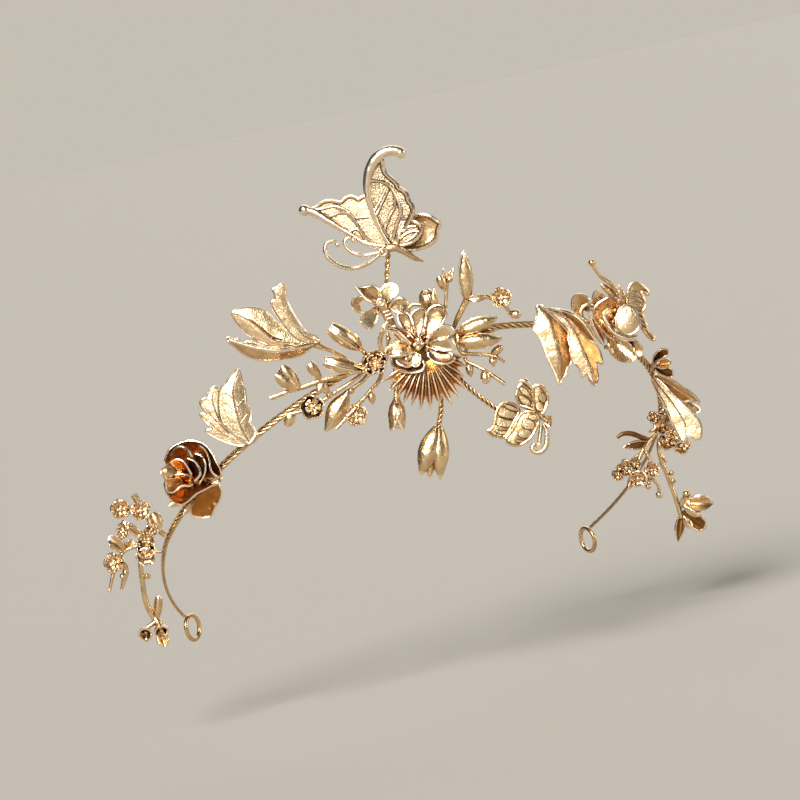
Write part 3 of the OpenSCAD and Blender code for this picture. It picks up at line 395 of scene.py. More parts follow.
far_wing = [(-9.6, 24.8), (-13.2, 25.9), (-16.4, 27.2), (-19.5, 29), (-22.7, 31.1), (-24.9, 32.7),
    (-27.2, 33.8), (-30, 34.9), (-30.4, 36.6), (-28.7, 37), (-27.2, 38.4), (-25.1, 38.9), (-23.1, 38.4),
    (-21.9, 38.2), (-20.8, 39.5), (-19.2, 40), (-17.8, 39.5), (-17.2, 38.9), (-16.3, 39.7), (-14.2, 40),
    (-12.6, 35.9), (-11, 31.3), (-8.8, 27.7)]
hind_wing = [(-6.9, 25.9), (-4.6, 29.5), (-2.8, 33.3), (-1.4, 34.6), (0.4, 34.8), (2.4, 34.2), (3.8, 33.1),
    (5.2, 32.2), (4.4, 30.8), (4.2, 29), (3.6, 27.4), (1.7, 26.2), (-0.5, 25.3), (-3.7, 24.9)]
near_lobe = [(-6.9, 26.2), (-6.4, 28.6), (-5.7, 30.8), (-4.1, 32.6), (-2.3, 32.9), (-0.8, 31.9),
    (-0.1, 30.4), (-0.7, 28.7), (-2.2, 27.3), (-4.1, 26.4)]
parts = [
    plate(near_wing, near, sand_gold, 0.95), plate(far_wing, far, sand_gold, 0.95),
    plate(hind_wing, hind, satin_gold, 0.7), plate(near_lobe, lobe_at, sand_gold, 0.6)]
for outline, depth, width in ((near_wing, near, 0.6), (far_wing, far, 0.5), (hind_wing, hind, 0.5),
                              (near_lobe, lobe_at, 0.45)):
    line = rounded(outline)
    parts.append(ridge(line, depth, width, bright_gold, -0.1, True))
    # The groove inside the rim, painted brown as shade
    inwards = width * 0.9 * (1 if runs_left(line) else -1)
    ahead = [(q - p).normalized() * inwards for p, q in zip(line[-1:] + line[:-1], line[1:] + line[:1])]
    groove = [p + Vector((-a.y, a.x, 0)) for p, a in zip(line, ahead)]
    parts.append(ridge(groove, depth, 0.42, brown_shade_gold, -0.22, True))
# The near wing's front edge, thick and rolled over at its tip
parts += [
    wire([(-9, 26.6, 1.2), (-11.2, 30, 1.6), (-13.2, 34.6, 2.4), (-14.6, 39.4, 3), (-14.7, 44.2, 3.4),
        (-13.4, 48.2, 3.8), (-11, 50.9, 4.2), (-8.4, 51.8, 4.6), (-6.2, 51.6, 4.8), (-5.3, 51, 4.8)],
        [0.4, 0.6, 0.75, 0.85, 0.95, 1.15, 1.35, 1.5, 1.5, 1.4], bright_gold),
    bead((-5.6, 51.1, 4.8), 3, bright_gold), bead((-32, 36.2, -4.6), 3.2, bright_gold),
    wire([(-9, 26, -0.2), (-15, 27, -1.4), (-20.5, 30.2, -2.4), (-25.6, 33.4, -3.4), (-29.4, 35.6, -4.2),
        (-31.6, 36.2, -4.5), (-32.8, 36.2, -4.6)], [0.4, 0.5, 0.6, 0.7, 1, 1.2, 1], bright_gold)]
# Veins, each a bright ridge, partly a painted highlight, in a groove painted brown as shade
veins_near = [
    [(-14.4, 43.5), (-12.2, 43.7), (-10.4, 43.3), (-8.8, 42.3), (-7.2, 39.9), (-6.1, 37.1), (-5.6, 34.5)],
    [(-9.5, 41.8), (-11.3, 38.3), (-13.1, 35)], [(-9, 41.6), (-10.7, 37.9), (-12.4, 34.4)],
    [(-7.4, 39.8), (-7.4, 36.7), (-8.8, 34), (-10.2, 30.4)],
    [(-5.7, 36.7), (-5.7, 34.9), (-7, 31.3), (-7.8, 28.1)],
    [(-14.3, 43.6), (-13.8, 45.8), (-12.5, 48), (-11.4, 48.9)], [(-13.1, 35), (-11.4, 32.2), (-9.1, 28.4)],
    [(-5.6, 34.4), (-4.8, 33.4), (-4.2, 33.6)]]
veins_far = [
    [(-29, 36.4), (-26.7, 36.6), (-24, 37.2), (-21.3, 36.4), (-19, 34.5), (-17.7, 32.3), (-16.3, 29.5),
        (-14.1, 26.8), (-11.4, 25.4)],
    [(-23.6, 37.2), (-20.9, 35.6), (-18.4, 33.2), (-16.6, 30.6), (-15, 28.4), (-11.8, 26.2)],
    [(-27.4, 35.2), (-24.8, 34.5), (-22.2, 35.4), (-19.6, 35.2)],
    [(-19.7, 30.1), (-17.9, 31), (-16.6, 30.2)], [(-17.7, 33.9), (-14.5, 34.2)]]
veins_lobe = [
    [(-5.9, 27.9), (-4.6, 29.2), (-2.3, 30.1), (-0.8, 29.9)], [(-4.3, 27.2), (-2.5, 28.3), (-1.3, 29.4)],
    [(-5.4, 29.9), (-3.6, 31.2), (-1.6, 31.3)]]
for depth, veins in ((near, veins_near), (far, veins_far), (lobe_at, veins_lobe)):
    for line in veins:
        parts.append(ridge(line, depth, 0.6, brown_shade_gold, -0.24))
        parts.append(ridge(line, depth, 0.36, bright_gold, 0.16))
# Body with a ring for its head, and the two feelers
parts += [
    wire([(-11, 24.7, 0.4), (-8.7, 25.6, 0.8), (-6.9, 25.7, 0.8), (-4.6, 24.5, 0.5), (-2.4, 23.1, 0.2),
        (0.4, 21.9, 0)], [0.8, 1.2, 1.15, 0.9, 0.8, 0.35]),
    loop((-10.6, 24.4, 1.5), 0.95, 0.32, bright_gold), bead((-10.6, 24.4, 0.9), 1.9),
    wire([(-11.2, 24, 0.2), (-14.1, 21.7, 0.8), (-16.8, 20.5, 1.2), (-19.1, 20.1, 1.2), (-21.8, 20.5, 1.6),
        (-24.5, 22, 1.8), (-26, 23.7, 1.8), (-26.3, 25.4, 1.8), (-25.8, 26.9, 1.8), (-24.7, 27.5, 1.8),
        (-23.4, 27.2, 1.8), (-22.8, 26.4, 1.8)], [0.5, 0.55, 0.6, 0.62, 0.6, 0.55, 0.5], bright_gold),
    wire([(-11.4, 24.4, -0.2), (-14.6, 23.8, -0.6), (-16.8, 23.8, -0.6), (-19.1, 24.6, -0.8),
        (-20.6, 26, -1), (-21, 27.3, -1), (-20.6, 28.2, -1), (-19.7, 28.5, -1), (-18.7, 28, -1)],
        [0.5, 0.55, 0.6, 0.6, 0.5], bright_gold),
    bead((-22.9, 26.5, 1.8), 1.4, bright_gold), bead((-18.6, 27.8, -1), 1.4, bright_gold),
    rope([(-9.2, -0.9, 1.9), (-9.2, 1, 0.6), (-9.3, 6, -0.8), (-9.6, 17, -1), (-9.2, 24.6, -0.4)], 2, 5)]
assemble("large_butterfly", parts, seat(HUB))

# Leaves: four toothed leaves cast in thin sheet. Every lobe is folded along its midrib, so that one
# half looks to the light and the other away from it, and has raised ribs and a rim rubbed bright,
# their pale tone partly a painted highlight; on some lobes the half away from the light is also
# painted in orange shade. Each stands on the band by a short stalk.

# Leaves, scratch-brushed: smoother than the cells of the wings
leaf_gold = plating("brushed_gold_leaf", "F5DAAE", "844C1C", 0.32, 0.4, 0.12, 2, 0.15)
# Painted orange shade on the sides of leaves, petals and stems turned away from the light
orange_shade_gold = plating("painted_orange_shade_gold", "DEA866", "824414", 0.3, 0.5, 0.08, 1.8, 0.25)
# Small castings, pale, with painted brown shade in their crevices
small_gold = plating("small_casting_gold", "F0CA98", "46220C", 0.27, 0.5, 0.08, 1.3, 0.15)


def beside(x, y, rib):
    """How far a place lies to the left of a rib, and at which share of its length."""
    pts = [Vector(p) for p in rib]
    whole = sum((b - a).length for a, b in zip(pts, pts[1:]))
    run, best = 0.0, (1e9, 0, 0)
    for a, b in zip(pts, pts[1:]):
        size = (b - a).length
        way, off = (b - a) / size, Vector((x, y)) - a
        t = min(max(off.dot(way), 0), size)
        far = (off - way * t).length
        if far < best[0]:
            best = far, way.x * off.y - way.y * off.x, (run + t) / whole
        run += size
    return math.copysign(best[0], best[1]), best[2]


def folded(rib, heights, left, right, puff=0.0):
    """Height of a lobe folded along its rib, with the slope of its left and of its right half."""
    def at(x, y):
        d, t = beside(x, y, rib)
        return along(heights, t) + (left if d > 0 else right) * abs(d) - puff * d * d
    return at


def leaf_lobe(outline, rib, heights, left, right, finish, puff=0.0, twigs=(), rim=0.34, thick=0.6,
              shade=None):
    """A lobe with its rim, midrib and side ribs, the rib from root to tip.

    shade is a finish that paints shade on the half at the left of the rib.
    """
    height = folded(rib, heights, left, right, puff)
    parts = [plate(outline, height, finish, thick, 0.8)]
    # The half at the left of the rib takes the painted shade
    if shade:
        parts[0].data.materials.append(shade)
        for face in parts[0].data.polygons:
            face.material_index = beside(face.center.x, face.center.y, rib)[0] > 0
    parts.append(ridge(rounded(outline), height, rim, bright_gold, -0.15, True))
    midrib, side_rib = [0.34, 0.3, 0.24, 0.16], [0.2, 0.16, 0.1]
    parts.append(ridge(rib, height, midrib, bright_gold, 0.02))
    for line in twigs:
        parts.append(ridge(line, height, side_rib, finish, 0.02))
    return parts


upper = [(-27.5, 0.2), (-28.9, 1.7), (-30.8, 2.2), (-32.4, 3.7), (-34, 6.1), (-35.6, 8.8), (-36.6, 11),
    (-37.1, 12.8), (-36.7, 14.7), (-37.5, 15.8), (-38.5, 15.7), (-39, 14.7), (-39.9, 14.7), (-40.5, 14.2),
    (-39.9, 12.9), (-39.7, 11.4), (-40.6, 11.2), (-40.8, 10.3), (-40.2, 8.6), (-38.9, 6.7), (-37.4, 4.4),
    (-35.4, 1.9), (-33.2, 0.2), (-30.9, -0.5)]
middle = [(-51.4, 7.9), (-50.6, 8.9), (-48.4, 9.4), (-45.7, 9.4), (-43, 8.8), (-41.2, 7.5), (-39.8, 5.7),
    (-38, 4), (-35.8, 2), (-33.5, 0.5), (-32.3, -0.3), (-34.1, -0.8), (-36.3, -1.2), (-39.1, -1.5),
    (-41.7, -0.8), (-45.3, 0.6), (-48.4, 3.3), (-50.2, 5.1), (-51.4, 7)]
lower = [(-27.7, 0), (-30, -1.3), (-32.3, -3.1), (-34.5, -4.1), (-37.7, -4.4), (-40.9, -4.8), (-44.5, -4.8),
    (-47.6, -3.6), (-49.4, -2.4), (-50.8, -1.2), (-52.3, -0.2), (-52.9, 1), (-52.6, 1.6), (-51.8, 1.1),
    (-51.1, 0.3), (-50.7, 0.8), (-50, 0.9), (-49.1, 0), (-48.2, -0.6), (-47.9, 0.2), (-46.7, 0.1),
    (-44.4, -0.7), (-41.7, -1.4), (-39, -1.7), (-35.4, -1.2), (-32.3, -0.3), (-28.4, 0.4)]
parts = leaf_lobe(upper,
    [(-28.2, 0.4), (-31.4, 1.1), (-34, 3.8), (-36.3, 7.4), (-38.1, 11.9), (-37.6, 15.1)],
    [5.2, 5.6, 6, 6.4], -0.1, -0.3, leaf_gold, 0,
    [[(-36.8, 8.2), (-39.4, 9.6)], [(-34.6, 4.8), (-37.6, 6.4)], [(-38, 11.6), (-39.6, 13.6)]])
parts += leaf_lobe(middle,
    [(-33.6, -0.6), (-38.6, 0), (-40.8, 0.9), (-43.1, 2.9), (-45.3, 4.8), (-48, 6.6), (-51, 7.9)],
    [5.6, 6, 6, 5.8, 5.4], -0.2, -0.12, leaf_gold, 0.03,
    [[(-41, 1.2), (-38.6, 3), (-36.4, 3)], [(-44, 3.9), (-42.4, 6), (-40.6, 6.6)]], 0.3)
# A brown wire along the middle lobe: painted shade in its midrib groove
parts.append(wire([(-38, 0.6, 5.7), (-41, 1.6, 5.8), (-43.6, 3.8, 5.8), (-46, 5.8, 5.6), (-49, 7.4, 5.2)],
    [0.3, 0.4, 0.4, 0.3, 0.15], brown_shade_gold))
parts += leaf_lobe(lower,
    [(-28.2, 0.2), (-34.1, -0.9), (-39, -1.5), (-43.6, -1.1), (-47.2, -0.4), (-52.4, 0.8)],
    [4.4, 5.6, 6.2, 6.2, 6], -0.9, 0.1, small_gold, 0.02, rim=0.36)
# The lower lobe's upper edge is turned over to the viewer
parts += [
    wire([(-29.4, -0.4, 5), (-34, -1.4, 6.2), (-39, -2.2, 6.8), (-44, -1.6, 6.8), (-48, -0.6, 6.6),
        (-52.2, 0.8, 6.2)], [0.5, 0.7, 0.7, 0.6, 0.5, 0.6], bright_gold),
    wire([(-19, -6.2, 3.2), (-21.4, -4, 3.4), (-24, -2.6, 3.6), (-29, -0.6, 4)], [0.5, 0.6, 0.6, 1])]
assemble("three_lobed_leaf_front", parts, seat(HUB))

main = [(0.2, -0.7), (2.1, 1.9), (1.4, 3.4), (0.1, 5), (0.8, 6.5), (0.5, 8.5), (-0.6, 9.6), (-0.9, 11.8),
    (-1, 14), (-1.7, 15.3), (-1.9, 17), (-2.3, 18.3), (-2.8, 19.7), (-3.7, 18.9), (-5.1, 17.6),
    (-5.9, 15.9), (-7, 15.2), (-8, 13.5), (-8.3, 11.4), (-8.2, 9), (-7.9, 6.3), (-7, 4.5), (-5.2, 2.8),
    (-2.9, 1.2), (-0.7, -0.4)]
second = [(-0.7, -0.6), (-2.9, 1.2), (-5.2, 2.8), (-7, 4.5), (-7.9, 6.3), (-8.4, 9), (-8.6, 11.7),
    (-8.3, 13.5), (-8.6, 14.5), (-9.2, 15), (-10.1, 14.5), (-11.2, 13.2), (-11.4, 11.8), (-12.5, 11.5),
    (-13.2, 10.9), (-13.3, 10.2), (-12.5, 8.7), (-11.2, 7.2), (-12.5, 7.6), (-13.3, 7.4), (-13.1, 6.6),
    (-11.8, 5.2), (-9.8, 3.3), (-11.1, 3.2), (-11.9, 2.9), (-11.3, 2.2), (-7.9, 0.3), (-4.8, -0.8),
    (-2, -1.4)]
parts = leaf_lobe(main,
    [(-0.1, -0.1), (-1.6, 2.6), (-2.7, 5.3), (-3.4, 8.1), (-4, 10.8), (-4.3, 13.5), (-4, 16.2),
    (-2.8, 19.4)], [4.8, 4.8, 4.4, 3.6], -0.26, -0.22, leaf_gold, 0.01,
    [[(-2.6, 5), (-7, 7.4)], [(-3.2, 8), (-7.6, 11)], [(-4, 11.4), (-7.2, 14)], [(-2.4, 4.6), (-0.4, 7.4)],
    [(-3.6, 9), (-1.2, 11.8)]])
parts += leaf_lobe(second, [(-0.7, -0.6), (-5.2, 2.6), (-7.9, 5.4), (-9.2, 8.5), (-10, 11.7), (-9.3, 14.7)],
    [3.6, 3.2, 3, 2.8], -0.14, -0.05, leaf_gold, 0.01,
    [[(-5.6, 2.2), (-8.8, 5.4), (-11.1, 8.1), (-13, 10.8)],
    [(-4.3, 0.4), (-7.9, 2.6), (-10.6, 5.1), (-13.1, 7.1)]])
parts.append(wire([(-0.6, -0.2, 3.4), (1, 0.2, 3.2), (2.6, 2.2, 3.2)], [0.9, 0.8, 0.6]))
assemble("leaf_left", parts, seat(-47))

left_lobe = [(-2.5, 5.3), (-3, 4.7), (-2.5, 3.2), (-3.3, 0.8), (-4, -1), (-3, -2.4), (-1.8, -4), (-1, -6.3),
    (-0.2, -9), (0.6, -10.7), (1.7, -13), (2.7, -15.6), (3.2, -16.8), (3.9, -15.3), (4.9, -14.2),
    (5.3, -12), (6.5, -11), (6.7, -9.4), (6.1, -7.1), (6.7, -5.1), (5.7, -2), (4.5, -0.7), (3, 0.9),
    (1, 2.8), (-1.2, 4.7)]
mid_lobe = [(-1, 4.6), (1.8, 3.2), (4.2, 0.8), (6.2, -1.6), (5.7, -4.7), (6.7, -7.1), (6.8, -9.8),
    (7.5, -11.1), (8.8, -12.2), (9.1, -14.2), (9.7, -14.7), (10.4, -13.4), (11.2, -14.6), (12, -16.4),
    (13, -17), (13.8, -15.8), (14, -14.2), (13.5, -12), (13.5, -10.3), (15.1, -11.3), (15.3, -10.5),
    (14.7, -7.8), (13.6, -5.5), (11.2, -4.7), (8.9, -1.6), (5.7, 1.6), (2.6, 4)]
right_lobe = [(0.2, 4.4), (3.1, 4.2), (5.8, 3.6), (8.6, 2), (10.6, 0.7), (12.4, -1.7), (13.4, -4.8),
    (12.4, -4.7), (10.4, -4.7), (8.9, -2.8), (5.7, 0.4), (3, 2.8)]
# The left halves of the first two lobes and the whole third lobe are painted in orange shade
parts = leaf_lobe(left_lobe, [(-2.3, 5), (0.2, 1.6), (1.8, -2.3), (2.8, -6.3), (3.3, -9.4), (3.3, -16.1)],
    [3.2, 4.6, 5, 4.4], -0.55, -0.1, satin_gold, shade=orange_shade_gold)
parts += leaf_lobe(mid_lobe, [(-0.6, 4.4), (5, 1.4), (8.2, -3.5), (10, -7.9), (12, -12.2), (13, -16.4)],
    [3, 4, 4.6, 4.4], -0.75, -0.12, leaf_gold, shade=orange_shade_gold)
parts += leaf_lobe(right_lobe, [(0.6, 4.3), (5.7, 3.2), (9.7, 0.6), (13.2, -4.4)], [2.8, 3, 1.6, 0], -0.2,
    -0.6, orange_shade_gold)
parts.append(wire([(-1.9, 4.8, 2.6), (-1.6, 4.2, 1.4), (-1.2, 2.4, 0.4)], [0.9, 0.8, 0.6]))
assemble("three_lobed_leaf_right", parts, seat(24))

big = [(0.4, -2.8), (1.5, -5.6), (3.2, -8.5), (4.9, -11.9), (6.1, -15.4), (7.8, -18.8), (8.9, -21.2),
    (9.8, -21.2), (10.2, -19.4), (10.7, -19.4), (12.9, -20.6), (14.4, -20.1), (14.7, -17.7), (14.1, -15.4),
    (12.4, -13.1), (9.5, -10.8), (6.7, -7.9), (4.4, -5.1), (2.1, -2.8)]
strap_up = [(0.7, -2.1), (2.7, -1.5), (5.6, -2.8), (9, -5.1), (12.4, -7.4), (14.3, -9.7), (14.1, -10.2),
    (11.8, -9.1), (10.1, -9.7), (7.8, -8.5), (5, -5.6), (2.7, -3.9)]
strap_low = [(7.4, -8.1), (10.7, -9.3), (12.9, -10.4), (14.7, -11.8), (14.3, -12.8), (12.4, -12.7),
    (10.1, -10.8)]
parts = leaf_lobe(big, [(0.6, -2.8), (4.4, -7.4), (8, -12.5), (10, -16.5), (9.6, -20.6)],
    [2, 3.2, 4.2, 4.4], 0.1, -0.2, leaf_gold, 0.01, rim=0.36)
# The upper strap is painted in orange shade
parts += leaf_lobe(strap_up, [(0.9, -2.2), (5.5, -4.4), (10.1, -7.6), (14, -9.8)], [2, 1.6, 1.2, 0.6], 0.25,
    -0.3, orange_shade_gold, rim=0.4)
parts += leaf_lobe(strap_low, [(7.8, -8.6), (11.4, -10.6), (14.4, -12.3)], [0.2, -0.4, -1], -0.2, -0.2,
    satin_gold, rim=0.3, thick=0.8)
parts += [bead((1.5, -2.6, 1.5), 2), wire([(1.6, -2.6, 1.4), (1.4, -1.6, -0.2)], 0.7)]
assemble("long_leaf_right", parts, seat(63))

# Open flowers: the large one at the front, the one with five petals above it, the orchid and the
# small flower at the right and the one on a long stem. Petals are cast thin and cupped, with a thick
# rim, and grow from a heart on a short post.

# The sheet of a petal, without its rim
PETAL_THICK = 0.45
# Half widths of a petal from its root to its tip
ROUND = (0.25, 0.6, 0.86, 1, 1, 0.95, 0.8)
OVAL = (0.3, 0.75, 0.98, 1, 0.86, 0.55, 0.15)
POINTED = (0.35, 0.8, 1, 0.95, 0.72, 0.4, 0.06)
STRAP = (0.6, 0.85, 1, 1, 0.9, 0.8, 0.6)


def skin(place, rows, cols, finish, rim, thick=PETAL_THICK):
    """Cast sheet laid out by place(across -1 to 1, along 0 to 1), its edge thickened to a rim."""
    bpy.ops.mesh.primitive_grid_add(x_subdivisions=cols, y_subdivisions=rows, size=2)
    made = bpy.context.object
    # The flat grid reaches from -1 to 1 both ways. The rim lies at its edge and stays as cast below
    # root
    edge, root = 0.999, -0.6
    rim_group = made.vertex_groups.new(name="rim")
    border = [c.index for c in made.data.vertices if max(abs(c.co.x), abs(c.co.y)) > edge]
    rim_group.add(border, 1, "REPLACE")
    outer = {c.index for c in made.data.vertices
             if c.co.y > edge or (rows > 6 and abs(c.co.x) > edge and c.co.y > root)}
    for corner in made.data.vertices:
        corner.co = place(corner.co.x, (corner.co.y + 1) / 2)
    made.data.materials.append(finish)
    # The outer cells are rubbed bright with the rim, on tiny petals only those at the tip; the pale
    # tone is partly a painted highlight
    made.data.materials.append(bright_gold)
    for face in made.data.polygons:
        face.material_index = any(i in outer for i in face.vertices)
    stout = max(rim, thick)
    return finish_with(made, ("SOLIDIFY", {"thickness": stout, "offset": 0, "vertex_group": "rim",
                                           "thickness_vertex_group": thick / stout}),
                       ("SUBSURF", {"levels": 1}))


def petal(root, tip, width, cup, arch, shape=ROUND, rim=0.75, finish=satin_gold):
    """Cast petal: cup lifts its edges to the viewer and arch bows its length."""
    root, tip = Vector(root), Vector(tip)
    v = tip - root
    s = v.cross((0, 0, 1)).normalized()
    n = s.cross(v).normalized()
    # How far the corners of the tip stand back, as a share of the length
    blunt = 0.4 * width / v.length

    def place(u, t):
        half = along(shape, t)
        lift = arch * 4 * t * (1 - t) + cup * u * u * half
        return root + v * (t * (1 - blunt * u * u * t * t)) + s * (u * width / 2 * half) + n * lift
    return skin(place, 9, 8, finish, rim)


def drape(rim, foot, belly, width=0.6, finish=satin_gold, ruffle=0.2):
    """Cast petal from the line of its rim down to its foot, bellied outwards between them.

    ruffle is the height of the folds that run down it.
    """
    top, low = evenly(rim, 0.8), evenly(foot, 0.4)
    centre = sum(low, Vector()) / len(low)

    def read(line, share):
        x = min(max(share, 0), 1) * (len(line) - 1)
        i = min(int(x), len(line) - 2)
        return line[i].lerp(line[i + 1], x - i)

    def place(u, t):
        a, b = read(low, (u + 1) / 2), read(top, (u + 1) / 2)
        out = (b - centre).normalized()
        fold = ruffle * math.sin(9 * u) * (1 - t) * t * 4
        return a.lerp(b, t) + out * (belly * 4 * t * (1 - t) + fold) - Vector((0, 0, belly * 2 * t * (1 - t)))
    return skin(place, 8, max(10, len(top)), finish, width)


# The petals of the large flower, each from the line of its rim down to its root at the heart; the
# three at the top and the two below are hollow, those at the sides domed
parts = [
    drape([(-3.2, 1.1, 6.4), (-5.4, 4, 5.8), (-6.9, 6.5, 5.3), (-6.6, 7.8, 5.2), (-5.2, 8.4, 5.3),
        (-3.6, 7.4, 5.6), (-2.8, 5.4, 6), (-2.3, 2.2, 6.4)],
        [(-2.9, 0.6, 5.2), (-2.4, 0.8, 5), (-1.9, 1, 5.2)], 1.7, 0.75),
    drape([(-2.5, 2, 6.3), (-3, 5.4, 5.9), (-2.7, 7.8, 5.7), (-1.1, 9.2, 5.8), (0.7, 9.1, 6),
        (1.2, 7.1, 6.3), (0.6, 4.5, 6.5), (-0.2, 1.6, 6.7)],
        [(-1.8, 0.9, 5.2), (-1.4, 1.1, 5), (-0.9, 1, 5.2)], 1.7, 0.75),
    drape([(0, 1.6, 6.6), (0.7, 5.8, 6.3), (2, 8.9, 6.2), (4.1, 10.1, 6.3), (6.1, 9.4, 6.7), (6.6, 7.3, 7),
        (5.2, 4.6, 7), (2.9, 2.6, 6.9), (0.7, 0.9, 6.8)], [(-0.5, 0.8, 5.2), (0, 0.9, 5), (0.2, 0.4, 5.2)],
        2.3, 0.85),
    drape([(0.7, -0.7, 7), (2.5, 1.7, 8), (4.9, 4.2, 8.8), (7.4, 4.6, 9), (8.5, 3.3, 8.8), (8.8, 1.9, 8.4),
        (6.1, 1.3, 8), (3.4, 0.2, 7.6)], [(0.1, -0.2, 5.6), (0.6, -0.1, 5.4), (0.8, -0.6, 5.6)], -1.1, 0.8),
    drape([(1.6, -0.7, 7), (4.2, 0.5, 8.6), (7.4, 0.9, 9), (8.8, -0.6, 8.8), (9.2, -2.1, 8.4),
        (6.9, -2.8, 8), (4.2, -2.5, 7.4), (2, -1.7, 6.6)],
        [(0.4, -0.7, 5.6), (0.8, -0.8, 5.4), (0.7, -1.3, 5.6)], -0.9, 0.8),
    drape([(0.9, -1.6, 6.6), (1.5, -3.6, 7.4), (3.3, -5.5, 8), (5.6, -6.2, 8.4), (7.8, -5.7, 8.6),
        (8.8, -4.6, 8.4), (7.8, -3.2, 7.6), (5.6, -2.2, 7), (2.5, -1.5, 6.6)],
        [(0, -1.3, 5), (0.4, -1.5, 4.8), (0.9, -1.4, 5)], 2, 0.8),
    drape([(-10.3, -3.6, 6), (-9.9, -1.6, 6.2), (-8, 0.2, 6.2), (-5.9, 0.5, 6.2), (-3.8, -0.7, 6.2),
        (-2.3, -2.6, 6.2)],
        [(-9.7, -3.9, 6.8), (-8, -3.7, 7.8), (-6.1, -3.5, 8.2), (-4.4, -3.2, 7.8), (-2.7, -2.8, 6.8)], -0.9,
        0.8),
    wire([(-10.3, -3.9, 6.8), (-8.2, -3.9, 7.8), (-6.1, -3.7, 8.2), (-4.2, -3.3, 7.8), (-2.4, -2.8, 6.8)],
        [0.4, 0.5, 0.5, 0.45], bright_gold),
    drape([(-8.6, -4.5, 6.4), (-8.2, -6.7, 6.8), (-6.4, -8.1, 7.1), (-3, -8.7, 7.3), (-0.3, -8.2, 7.4),
        (0.6, -7, 7.4), (0.2, -5, 6.8)], [(-6.1, -3.1, 4.8), (-3.9, -2.7, 4.6), (-1.8, -2.7, 4.8)], 0.6,
        0.85),
    drape([(-7.3, -4.9, 7), (-5.9, -6.4, 7.6), (-3.6, -7, 7.9), (-2.6, -6.4, 7.9), (-2.8, -5, 7.4)],
        [(-5.4, -4.2, 6), (-4.4, -4, 5.8), (-3.4, -3.8, 6)], 0.8, 0.6, leaf_gold),
    drape([(-3.2, -6.2, 7.6), (-2.2, -7, 8.1), (-0.9, -6.5, 8.1), (-0.5, -5, 7.8), (-1, -3.4, 7.2)],
        [(-2.6, -3.6, 6.4), (-2, -3.2, 6.2), (-1.4, -3, 6.4)], 0.6, 0.6, leaf_gold),
    wire([(-10.2, 3.4, 8), (-11.3, 1.4, 7), (-11.5, -0.8, 6.4), (-10.6, -3, 6.2), (-9, -4, 6.4)],
        [0.5, 0.65, 0.6, 0.5]),
    # The petal at the upper left is rolled into a scroll
    wire([(-3.3, -0.8, 7.2), (-5.4, 1.2, 8.2), (-7.4, 2.8, 8.8), (-9.7, 3, 9), (-10.4, 4, 9),
        (-9.4, 5.3, 8.8)], [0.5, 0.65, 0.7, 0.65, 0.6, 0.5], bright_gold),
    # A strap petal under the scroll, painted in orange shade
    petal((-2.6, -0.4, 5.4), (-9.2, 4.2, 7.4), 3.4, 1.2, -0.4, STRAP, finish=orange_shade_gold),
    petal((-3, -2.6, 6.2), (-4.6, -5, 8.2), 1.8, -0.5, 0.3, OVAL, 0.6),
    # A flat brown disc at the heart, painted shade under the beads
    bead((-0.7, -1.8, 4.4), 7.6, brown_shade_gold, 0.22), bead((-0.9, -0.8, 5.6), 3),
    bead((-1.1, 0.3, 6.9), 2.2, bright_gold), bead((-2, -0.8, 7), 1.3, bright_gold),
    bead((-0.1, -0.6, 6.9), 1.3, bright_gold), bead((-1.1, -1.7, 7), 1.5, bright_gold),
    wire([(-0.4, -0.2, 1.7), (-0.7, -1.2, 5.8)], 0.9)]
assemble("centre_flower", parts, seat(HUB))

